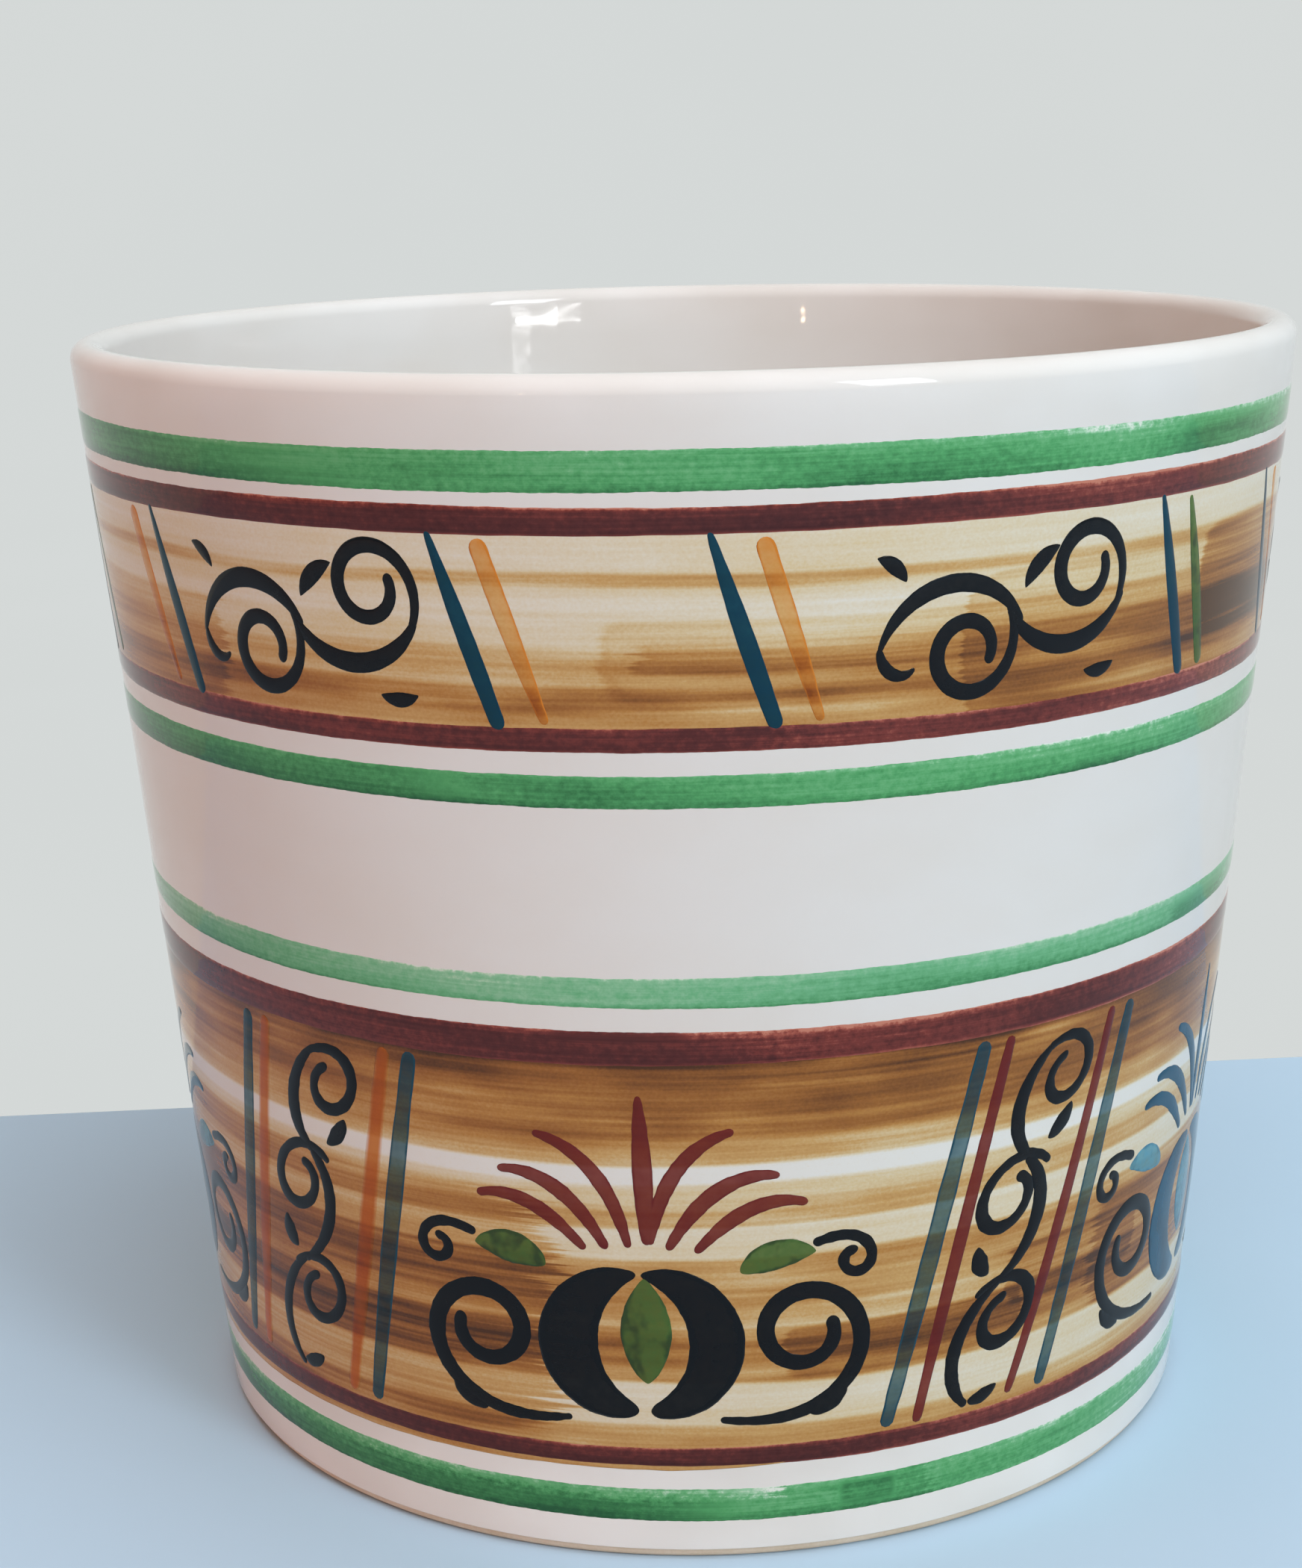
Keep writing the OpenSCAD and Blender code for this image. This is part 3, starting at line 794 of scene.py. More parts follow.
@dataclass(frozen=True)
class WashFinish(Finish):
    """Thinned iron brown brushed over the white glaze on the turning pot.

    The eye sees watery bands with faint hair lines, bare white streaks where
    the brush missed, and rounded starts where it was put down.
    """

    name: str = "iron_brown_wash"
    slot: Slot = Slot.WASH
    roughness: float = 0.05
    ior: float = 1.35
    tints: Sequence[tuple[float, str]] = (
        (0.0, "#DEDFDB"), (0.12, "#DAD4C2"), (0.26, "#D2C19A"), (0.42, "#C39E64"),
        (0.58, "#AE7C3E"), (0.72, "#935F29"), (0.86, "#73461C"), (1.0, "#4A2D14"),
    )
    # Heights in mm with the depth of colour there, in the upper and the lower frieze
    upper_range: tuple[float, float] = (130.0, 160.0)
    upper_depth: Sequence[tuple[float, float]] = (
        (130.9, 0.14), (131.4, 0.46), (133.3, 0.5), (135, 0.64), (136.5, 0.64), (138, 0.4),
        (140, 0.42), (142.3, 0.38), (143.2, 0.24), (149, 0.16), (151.2, 0.22), (152.0, 0.44),
        (153, 0.42), (153.7, 0.2), (157, 0.17),
    )
    lower_range: tuple[float, float] = (14.0, 84.0)
    lower_depth: Sequence[tuple[float, float]] = (
        (15, 0.46), (17.8, 0.5), (20.5, 0.56), (23.2, 0.44), (23.9, 0.22), (30.2, 0.18),
        (30.9, 0.5), (36, 0.64), (39.4, 0.52), (40, 0.34), (42, 0.42), (46, 0.56), (51, 0.5),
        (51.6, 0.22), (56.4, 0.16), (57, 0.44), (60, 0.38), (61.4, 0.24), (63.4, 0.24), (64, 0.0),
        (66.2, 0.0), (66.8, 0.36), (70, 0.58), (72.5, 0.7), (75, 0.66), (77.5, 0.74), (80, 0.8),
        (82.6, 0.92),
    )
    between_mm: float = 108.0
    swipes: Sequence[Swipe] = (
        Swipe(31.0, 38.0, 136.0, 147.0, 0.08, ragged=2.0),
        Swipe(38.0, 42.0, 139.5, 143.5, 0.1),
        Swipe(52.0, 29.0, 130.0, 151.4, 0.15, soft=0.7, ragged=4.0),
        Swipe(80.0, 29.0, 137.0, 153.0, 0.3, soft=1.0, ragged=3.0),
        Swipe(21.0, 13.0, 31.0, 39.2, 0.16, soft=0.7, ragged=4.0),
        Swipe(42.0, 10.0, 36.5, 46.0, 0.14, soft=0.7, ragged=4.0),
        Swipe(-66.0, 22.0, 132.0, 147.0, 0.16),
        Swipe(-44.0, 30.0, 20.0, 62.0, 0.24, soft=3.0, ragged=24.0),
        Swipe(70.0, 26.0, 30.0, 48.0, 0.18),
        Swipe(150.0, 34.0, 46.0, 60.0, 0.2, soft=2.5),
        Swipe(-150.0, 30.0, 140.0, 150.0, 0.2),
        Swipe(-125.0, 25.0, 24.0, 38.0, 0.22, soft=2.0),
    )
    # How much darker a swipe's brim is, at most a quarter of this
    pool: float = 0.28
    # How far the streaks wander up and down, over spots of this size
    wander_mm: float = 3.0
    wander_spot_mm: tuple[float, float] = (70.0, 30.0)
    bristle_mm: tuple[float, float] = (45.0, 0.7)
    streak_mm: tuple[float, float] = (80.0, 2.4)
    patch_mm: tuple[float, float] = (30.0, 9.0)
    fine_mm: tuple[float, float] = (0.5, 0.4)
    # Shares of bristle, streak and patch in the depth, and of fine grain and bristle on top
    streak_shares: tuple[float, float, float] = (0.3, 1.1, 1.0)
    fine_shares: tuple[float, float] = (0.14, 0.08)
    thinning: float = 0.12

    @cache
    def group(self) -> Tree:
        """The wash's colour at any point of the pot, as a node group, made once.

        The depth of colour is a chosen profile over the height, times streaks
        of the brush, plus the single swipes with their pooled brims; a ramp of
        tints then colours it.
        """
        tree = bpy.data.node_groups.new(self.name, "ShaderNodeTree")
        tree.interface.new_socket("Color", in_out="OUTPUT", socket_type="NodeSocketColor")
        spot = Spot.of(tree)
        wander = spot.grain(*self.wander_spot_mm, detail=1.0)
        height = spot.stir(spot.height, (wander, self.wander_mm))
        parts = []
        for (low, top), depth in ((self.lower_range, self.lower_depth),
                                  (self.upper_range, self.upper_depth)):
            share = add(tree, "MapRange", {"Value": height, "From Min": low, "From Max": top})
            stops = [((z - low) / (top - low), value) for z, value in depth]
            parts.append(add(tree, "ValToRGB", {0: share}, stops=stops))
        above = add(tree, "Math", {0: spot.height, 1: self.between_mm}, operation="GREATER_THAN")
        depth = add(tree, "Mix", {"Factor": above, "A": parts[0], "B": parts[1]}, data_type="RGBA")
        bristle = spot.grain(*self.bristle_mm)
        streak = spot.grain(*self.streak_mm)
        patch = spot.grain(*self.patch_mm)
        fine = spot.grain(*self.fine_mm, detail=1.0)
        streaks = spot.stir(1.0, *zip((bristle, streak, patch), self.streak_shares))
        depth = add(tree, "Math", {0: depth, 1: streaks}, operation="MULTIPLY")
        depth = spot.sum(-self.thinning, (depth, 1.0), *zip((fine, bristle), self.fine_shares))
        hair = spot.sum(0.5, (bristle, 1.0))
        for swipe in self.swipes:
            inside = swipe.mask(spot, bristle, streak)
            outer = spot.sum(1.0, (inside, -1.0))
            brim = add(tree, "Math", {0: inside, 1: outer}, operation="MULTIPLY")
            inside = add(tree, "Math", {0: inside, 1: hair}, operation="MULTIPLY")
            depth = spot.sum(depth, (inside, swipe.weight), (brim, self.pool))
        add(tree, "NodeGroupOutput", {0: add(tree, "ValToRGB", {0: depth}, stops=self.tints)})
        return tree

    def dress(self, tree: Tree) -> tuple[Socket, Socket | None]:
        """The wash alone, under the same gloss as the glaze."""
        return add(tree, "Group", node_tree=self.group()), None


@dataclass(frozen=True)
class StrokeFinish(Finish):
    """Glaze colour brushed over the wash: sheer in the middle, pooled at the edges.

    The tint is what a thin coat lets through of the wash below, and the
    pigment is what pooled colour shows by itself. The body is how much of the
    pigment shows everywhere. The edge, the head and the tail add to it there,
    the side adds to one side, the fade takes away along the stroke, and the
    blur melts the edges into the wash.
    """

    name: str
    slot: Slot
    pigment: str
    tint: str
    body: float = 1.0
    edge: float = 0.0
    head: float = 0.0
    tail: float = 0.0
    fade: float = 0.0
    side: float = 0.0
    blur: float = 0.0
    mottle: float = 0.0
    mottle_mm: float = 1.5
    deep: str = "#101418"
    deep_share: float = 0.0
    roughness: float = 0.08
    ior: float = 1.28
    # Across, from the middle, 0, to the edge, 0.5: where the rim and the blur begin and are full
    rim_range: tuple[float, float] = (0.36, 0.52)
    rim_mottle: float = 0.1
    blur_range: tuple[float, float] = (0.24, 0.5)
    # Along, from 0 to 1: where the head ends and where the tail begins
    head_end: float = 0.22
    tail_start: float = 0.85
    # The noise between these values turns to deep pools, which gather a little at the rim
    # and are larger than the mottle by these factors, across and upwards
    deep_range: tuple[float, float] = (0.5, 0.66)
    deep_rim: float = 0.16
    deep_sizes: tuple[float, float] = (2.2, 3.0)

    def dress(self, tree: Tree) -> tuple[Socket, Socket | None]:
        """Opacity from the stroke's own UVs, over the wash times the tint."""
        spot = Spot.of(tree)
        uv = add(tree, "TexCoord", out="UV")
        across, along = add(tree, "SeparateXYZ", {0: uv}).node.outputs[:2]
        mottle = spot.grain(self.mottle_mm, self.mottle_mm)
        off = add(tree, "Math", {0: across, 1: -0.5}, operation="ADD")
        away = add(tree, "Math", {0: off}, operation="ABSOLUTE")
        low, high = self.rim_range
        rim = add(tree, "MapRange", {"Value": spot.sum(away, (mottle, self.rim_mottle)),
                                     "From Min": low, "From Max": high},
                  interpolation_type="SMOOTHSTEP")
        head = add(tree, "MapRange", {"Value": along, "From Min": self.head_end, "From Max": 0.0})
        tail = add(tree, "MapRange", {"Value": along, "From Min": self.tail_start, "From Max": 1.0})
        cover = spot.sum(spot.stir(self.body, (mottle, self.mottle)), (rim, self.edge),
                         (head, self.head), (tail, self.tail), (off, self.side),
                         (along, -self.fade))
        under = add(tree, "Group", node_tree=WashFinish().group())
        sheer = add(tree, "Mix", {"Factor": 1.0, "A": under, "B": linear(self.tint)},
                    data_type="RGBA", blend_type="MULTIPLY")
        colour = add(tree, "Mix", {"Factor": add(tree, "Clamp", {0: cover}), "A": sheer,
                                   "B": linear(self.pigment)}, data_type="RGBA")
        if self.blur:
            low, high = self.blur_range
            melt = add(tree, "MapRange", {"Value": away, "From Min": low, "From Max": high,
                                          "To Max": self.blur}, interpolation_type="SMOOTHSTEP")
            colour = add(tree, "Mix", {"Factor": melt, "A": colour, "B": under},
                         data_type="RGBA")
        if self.deep_share:
            low, high = self.deep_range
            pools = spot.grain(*(size * self.mottle_mm for size in self.deep_sizes))
            blot = spot.sum(pools, (rim, self.deep_rim))
            blot = add(tree, "MapRange", {"Value": blot, "From Min": low, "From Max": high,
                                          "To Max": self.deep_share})
            colour = add(tree, "Mix", {"Factor": blot, "A": colour, "B": linear(self.deep)},
                         data_type="RGBA")
        return colour, None


# The upper green bands are darker at the left and the oxblood lines lighter at the right,
# and one of the lines is smeared darker near the front
OLIVE = Swipe(-62.0, 42.0, 0.0, 180.0, -0.18, soft=8.0, ragged=20.0)
BRICK = Swipe(48.0, 42.0, 0.0, 180.0, 0.12, soft=8.0, ragged=20.0)
SMEAR = Swipe(-7.0, 6.0, 86.0, 90.0, -0.3, ragged=4.0)


class Paint(Enum):
    """Every finish of the pot."""

    CLAY = ClayFinish()
    GLAZE = GlazeFinish()
    WASH = WashFinish()
    GREEN_BAND_1 = BandFinish("green_band_1", Slot.GREEN, Tones.GREEN, Profile.EVEN, (
        OLIVE, Swipe(54.0, 8.0, 165, 169, -0.12)))
    GREEN_BAND_2 = BandFinish("green_band_2", Slot.GREEN, Tones.GREEN, Profile.EVEN, (
        OLIVE, Swipe(-120.0, 9.0, 119, 124, -0.16)))
    GREEN_BAND_3 = BandFinish("green_band_3", Slot.PALE_GREEN, Tones.PALE, Profile.EVEN, (
        Swipe(60.0, 7.0, 90, 94, -0.3),))
    GREEN_BAND_4 = BandFinish("green_band_4", Slot.GREEN, Tones.GREEN, Profile.EVEN, (
        Swipe(-50.0, 67.0, 0.0, 180.0, -0.24, soft=3.0, ragged=4.0),
        Swipe(-72.0, 80.0, 10.5, 18.0, 0.34, soft=1.3, ragged=14.0),
        Swipe(62.0, 38.0, 0.0, 24.0, 0.16, soft=2.0, ragged=12.0),
        Swipe(17.0, 3.0, 8, 12, -0.22, soft=0.7, ragged=2.0)))
    OXBLOOD_LINES = BandFinish("oxblood_lines", Slot.OXBLOOD, Tones.OXBLOOD, Profile.LINED,
                               (BRICK, SMEAR), fray=0.24)
    # Cobalt and copper teal, thick enough in the upper frieze to hide the wash
    THICK_TEAL = StrokeFinish("thick_teal", Slot.TEAL, "#05364A", "#2F7C9C", body=0.92, edge=0.15,
                              mottle=0.34)
    # The same teal, pulled long and thin: it shows the wash through
    THIN_TEAL = StrokeFinish("thin_teal", Slot.TEAL, "#1A4455", "#7B979F", body=0.32, edge=0.75,
                             head=0.35, tail=0.5, mottle=0.7, mottle_mm=3.0)
    DEEP_TEAL = StrokeFinish("deep_teal", Slot.TEAL, "#0C4A66", "#3F86A4", mottle=0.2,
                             mottle_mm=5.0, deep="#0A2233", deep_share=0.6)
    SKY_BLUE = StrokeFinish("sky_blue", Slot.SKY, "#4F93AC", "#8DC0D0", body=0.7, edge=0.3,
                            mottle=0.6, deep="#1C4A62", deep_share=0.5)
    # Iron orange, pooled amber round the rim and the head of the stroke
    AMBER = StrokeFinish("amber", Slot.ORANGE, "#C87A26", "#F1C88F", body=0.18, edge=0.75,
                         head=0.42, side=0.4, fade=0.15, mottle=0.6)
    # The same orange, soft-edged where it sank into the wash
    SOFT_AMBER = StrokeFinish("soft_amber", Slot.ORANGE, "#BC6A26", "#DE9450", body=0.3,
                              head=0.15, tail=0.3, mottle=0.7, mottle_mm=8.0, blur=0.75)
    # Copper green, mottled, with darker pools
    LEAF_GREEN = StrokeFinish("leaf_green", Slot.LEAF_GREEN, "#45642F", "#93AC78", body=0.8,
                              edge=0.2, mottle=0.45, deep="#22301F", deep_share=0.65)
    # Iron red-brown, thin enough to warm over the wash
    THIN_OXBLOOD = StrokeFinish("thin_oxblood", Slot.OXBLOOD, "#64201F", "#AE6A5E", body=0.72,
                                edge=0.3, head=0.2, mottle=0.5, mottle_mm=3.0)
    # Manganese black, a shade thinner in the middle of the stroke
    MANGANESE_BLACK = StrokeFinish("manganese_black", Slot.BLACK, "#0C0F13", "#8A857E", body=0.98,
                                   edge=0.1, mottle=0.06)


@dataclass(frozen=True)
class Vessel:
    """The thrown clay body and the one coat of glaze over it."""

    cone: Cone
    wall: float = 4.7 * MM
    glaze: float = 0.4 * MM
    floor: float = 7 * MM
    corner: float = 11 * MM
    foot: float = 7 * MM
    hollow: float = 2.5 * MM
    foot_edge: float = 1.5 * MM
    bare: float = 2 * MM
    groove: float = 3.2 * MM
    groove_depth: float = 0.1 * MM

    @property
    def lip(self) -> float:
        """Radius of the round lip: half of the wall with both coats."""
        return self.wall / 2 + self.glaze

    @property
    def lip_centre(self) -> tuple[float, float]:
        """Middle of the lip in the profile."""
        z = self.cone.height - self.lip
        return (self.cone.radius(z) - self.lip, z)

    @property
    def corner_centre(self) -> tuple[float, float]:
        """Middle of the curve between floor and wall inside."""
        z = self.hollow + self.floor + self.corner
        return (self.cone.radius(z) - self.glaze - self.wall - self.corner, z)

    def lathe(self, name: str, profile: Grid, around: int = 288) -> Shell:
        """Turns a profile that starts and ends on the axis round the pot.

        The radius is the profile's plus the cone's dip, which fades out
        towards the axis as the square of the share of the base radius.

        Args:
            name: the piece's name.
            profile: radius and height of each point, in order.
            around: columns round the pot.

        Returns:
            The shell.
        """
        angle = np.arange(around) / around * FULL_TURN
        r, z = profile[:, :1], profile[:, 1:]
        fade = np.clip(r / self.cone.base_radius, 0, 1) ** 2
        r = r + self.cone.dip(angle[None], z) * fade
        grid = np.stack([r * np.sin(angle), -r * np.cos(angle), np.broadcast_to(z, r.shape)], -1)
        turn = np.linspace(0, 1, around + 1)[None]
        along = np.linspace(0, 1, len(profile))[:, None]
        shell = Shell(name)
        shell.add_grid(grid, np.stack(np.broadcast_arrays(turn, along), -1), poles=True)
        return shell

    def clay_profile(self) -> Grid:
        """From the hollow under the floor, round the foot, wall, lip and floor.

        The hollow's ceiling has the rings of the turning tool: it rises by a
        raised cosine of the radius over the spacing of the rings.
        """
        top = self.hollow + self.floor
        out = self.cone.base_radius - self.glaze
        inner = out - self.foot_edge - self.foot
        r = np.linspace(0, inner - self.hollow, 90)
        rings = self.hollow + self.groove_depth / 2 * (1 - np.cos(FULL_TURN * r / self.groove))
        edge = (out - self.foot_edge, self.foot_edge)
        lip = self.lip - self.glaze
        outer = (self.lip_centre[0] + lip, self.lip_centre[1])
        within = (self.lip_centre[0] - lip, self.lip_centre[1])
        bend = (self.corner_centre[0] + self.corner, self.corner_centre[1])
        return np.concatenate([
            np.stack([r, rings], -1), [(inner, 0)], arc(edge, self.foot_edge, -90, 0, 8),
            straight((out, self.foot_edge), outer, 40), arc(self.lip_centre, lip, 0, 180, 12),
            straight(within, bend, 40), arc(self.corner_centre, self.corner, 0, -90, 12),
            straight((self.corner_centre[0], top), (0, top), 8), [(0, top)],
        ])

    def coat_profile(self) -> Grid:
        """The glaze: floor, inside, lip, outside, a round bead at the foot, and back."""
        top = self.hollow + self.floor
        lip = self.lip_centre
        bend = self.corner_centre
        thin = self.glaze / 2
        low = (self.cone.radius(self.bare), self.bare)
        inside = (bend[0] + self.corner - self.glaze, bend[1])
        return np.concatenate([
            [(0, top + self.glaze)],
            straight((0, top + self.glaze), (bend[0], top + self.glaze), 10),
            arc(bend, self.corner - self.glaze, -90, 0, 14),
            straight(inside, (lip[0] - self.lip, lip[1]), 50),
            arc(lip, self.lip, 180, 0, 22),
            straight((lip[0] + self.lip, lip[1]), low, 60),
            arc((low[0] - thin, low[1]), thin, 0, -180, 8),
            straight((low[0] - self.glaze, low[1]), (lip[0] + self.lip - self.glaze, lip[1]), 12),
            arc(lip, self.lip - self.glaze, 0, 180, 12),
            straight((lip[0] - self.lip + self.glaze, lip[1]),
                     (bend[0] + self.corner, bend[1]), 12),
            arc(bend, self.corner, 0, -90, 8),
            straight((bend[0], top), (0, top), 4), [(0, top)],
        ])

    def build(self) -> None:
        """Makes the clay and the glaze."""
        self.lathe("thrown_clay", self.clay_profile()).build(Paint.CLAY, "clay_body")
        coat = self.lathe("glaze_coat", self.coat_profile())
        coat.build(Paint.GLAZE, "inner_glaze", "outer_glaze")


@dataclass(frozen=True)
class Bands:
    """The green bands and the oxblood lines round the pot.

    A fringe of wash shows under the lowest line, apart from the clean angles.
    """

    cone: Cone
    seed: int = 3
    greens: Sequence[Paint] = (Paint.GREEN_BAND_1, Paint.GREEN_BAND_2, Paint.GREEN_BAND_3,
                               Paint.GREEN_BAND_4)
    lines: Sequence[int] = (1, 2, 3, 4)
    fringe_low: float = 15.5 * MM
    fringe_top: float = 17.2 * MM
    fringe_sway: float = 0.3 * MM
    clean_angles: tuple[float, float] = (8, 150)

    def build(self) -> None:
        """Lays each band between the heights of its CAD node, and then the fringe."""
        rng = np.random.default_rng(self.seed)
        bands = [(green.value.name, green, Coat.BAND) for green in self.greens]
        bands += [(f"oxblood_line_{n}", Paint.OXBLOOD_LINES, Coat.LINE) for n in self.lines]
        for node, paint, coat in bands:
            shell = Shell(f"brushed_{node}")
            Ring.of(node, coat).add_to(shell, self.cone, rng)
            shell.build(paint, node)
        fringe = Shell("wash_fringe")
        Ring(self.fringe_low, self.fringe_top, Coat.WASH, sway=self.fringe_sway,
             drawn_up=self.clean_angles).add_to(fringe, self.cone, rng)
        fringe.build(Paint.WASH)


class Pull(Enum):
    """Widths of a stroke's head and foot, as shares of its full width."""

    POINTED = (0.3, 0.75)
    PRESSED = (0.95, 0.45)
    DRAWN = (0.7, 0.65)


@dataclass
class Frieze:
    """A painted zone between two lines: its ground and the strokes on it.

    The ground laps under both lines, and a bar bows by a degree or two.
    """

    cone: Cone
    ground: str
    seed: int
    lap: float = 0.4 * MM
    bow_degrees: float = 1.5

    def __post_init__(self) -> None:
        """Takes the zone's heights from the CAD ground."""
        low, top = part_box(self.ground)
        self.low, self.tall = low[2], top[2] - low[2]
        self.middle = self.cone.radius(self.low + self.tall / 2)
        self.rng = np.random.default_rng(self.seed)

    def round_angle(self, length: float) -> float:
        """Degrees round the zone's middle that a length covers."""
        return math.degrees(length / self.middle)

    def lay_ground(self) -> None:
        """The wash, a hair wider than its node so that both lines lap over it."""
        shell = Shell(f"washed_{self.ground}")
        Ring(self.low - self.lap, self.low + self.tall + self.lap, Coat.WASH).add_to(
            shell, self.cone, self.rng)
        shell.build(Paint.WASH, self.ground)

    def slanted(self, width: float, lean_angle: float, length_share: float,
                pull: Pull) -> Stroke:
        """One straight leaning stroke, from the top of the zone to its foot.

        Args:
            width: full width of the stroke.
            lean_angle: how much further round its top lies than its foot.
            length_share: its height as a share of the zone's.
            pull: how the brush was set down and lifted.

        Returns:
            The stroke, in shares of the zone's height.
        """
        lean = lean_angle / self.round_angle(self.tall)
        share = width / self.tall
        head, foot = (part * share for part in pull.value)
        return Stroke(lean * length_share / 2, (1 + length_share) / 2,
                      math.degrees(math.atan2(-length_share, -lean * length_share)),
                      length_share * math.hypot(1, lean), 0, 0, head, share, foot)

    def bars(self, node: str, paint: Paint, stroke: Stroke, angles: Iterable[float]) -> None:
        """Paints one leaning stroke, a little bowed, at each angle: the piece of one node."""
        shell = Shell(f"painted_{node}")
        for angle in angles:
            turn, curl = self.bow_degrees * self.rng.normal(size=2)
            patch = Patch(angle, self.low, self.tall, self.round_angle(self.tall))
            patch.paint(shell, self.cone, replace(stroke, turn=turn, curl=curl), Coat.STROKE,
                        self.rng)
        shell.build(paint, node)

    def ornament(self, node: str, paint: Paint, strokes: Sequence[Stroke],
                 patches: Iterable[Patch]) -> None:
        """Paints an ornament on each patch, as the piece of one node."""
        shell = Shell(f"painted_{node}")
        for patch in patches:
            for stroke in strokes:
                patch.paint(shell, self.cone, stroke.repeated(self.rng), Coat.ORNAMENT, self.rng)
        shell.build(paint, node)


@dataclass
class UpperFrieze(Frieze):
    """Pairs of leaning strokes and six black running scrolls.

    Each pair is a teal stroke and an orange or a green one, which stands to
    the right of the teal or, in a few pairs, to the left of it.
    """

    orange_pairs: Sequence[float] = (-53, -16.4, 6.4, 69.5, 108, 167, 188, 247)
    green_pairs: Sequence[float] = (48.5, 129, 226, 286)
    swapped_pairs: Sequence[float] = (-53, 129)
    half_angle: float = 2.0
    lean_angle: float = -5.0
    width: float = 2.7 * MM
    teal_share: float = 1.04
    second_share: float = 0.97
    scroll_angles: Sequence[float] = (-34.6, 27.4, 88.7, 148, 207, 266.5)
    x_angle: float = 14.0

    def places(self, pairs: Iterable[float], side: int) -> list[float]:
        """Angles of one stroke of each pair.

        Args:
            pairs: angles of the pairs' middles.
            side: 1 for the second colour and -1 for the teal.

        Returns:
            The angles, with both sides changed over in the swapped pairs.
        """
        return [a - side * self.half_angle if a in self.swapped_pairs
                else a + side * self.half_angle for a in pairs]

    def build(self) -> None:
        """Lays the ground, the pairs of strokes and the scrolls."""
        self.lay_ground()
        pairs = sorted([*self.orange_pairs, *self.green_pairs])
        teal = self.slanted(self.width, self.lean_angle, self.teal_share, Pull.POINTED)
        orange = self.slanted(self.width, self.lean_angle, self.second_share, Pull.PRESSED)
        green = self.slanted(self.width, self.lean_angle, self.second_share, Pull.POINTED)
        self.bars("upper_teal_strokes", Paint.THICK_TEAL, teal, self.places(pairs, -1))
        self.bars("upper_orange_strokes", Paint.AMBER, orange, self.places(self.orange_pairs, 1))
        self.bars("upper_green_strokes", Paint.LEAF_GREEN, green, self.places(self.green_pairs, 1))
        # Two arcs of a wave, the spiral inside each, and four short ticks
        scroll = [
            Stroke(-0.84, 0.34, 76, 1.18, -136, 0, 0.03, 0.12, 0.04),
            Stroke(-0.01, 0.52, -60, 1.06, 122, 0, 0.04, 0.12, 0.04),
            Stroke(-0.1, 0.66, -46, 1.8, -215, -225, 0.03, 0.1, 0.07),
            Stroke(0.74, 0.36, 46, 1.8, 215, 225, 0.03, 0.1, 0.07),
            Stroke(-0.84, 0.36, -85, 0.34, 60, 80, 0.03, 0.08, 0.02),
            Stroke(0.08, 0.64, 66, 0.34, -50, 0, 0.01, 0.12, 0.01),
            Stroke(-0.7, 0.74, 118, 0.24, 50, 0, 0.01, 0.09, 0.01),
            Stroke(0.58, 0.1, -20, 0.26, 50, 0, 0.01, 0.09, 0.01),
        ]
        patches = [Patch(a, self.low, self.tall, self.x_angle, y_share=0.92, lift_share=0.04)
                   for a in self.scroll_angles]
        self.ornament("upper_scrolls", Paint.MANGANESE_BLACK, scroll, patches)


class Panel(Enum):
    """The inner bars of a narrow panel and how far they stand from its middle."""

    ORANGE = 7.9
    OXBLOOD = 6.6


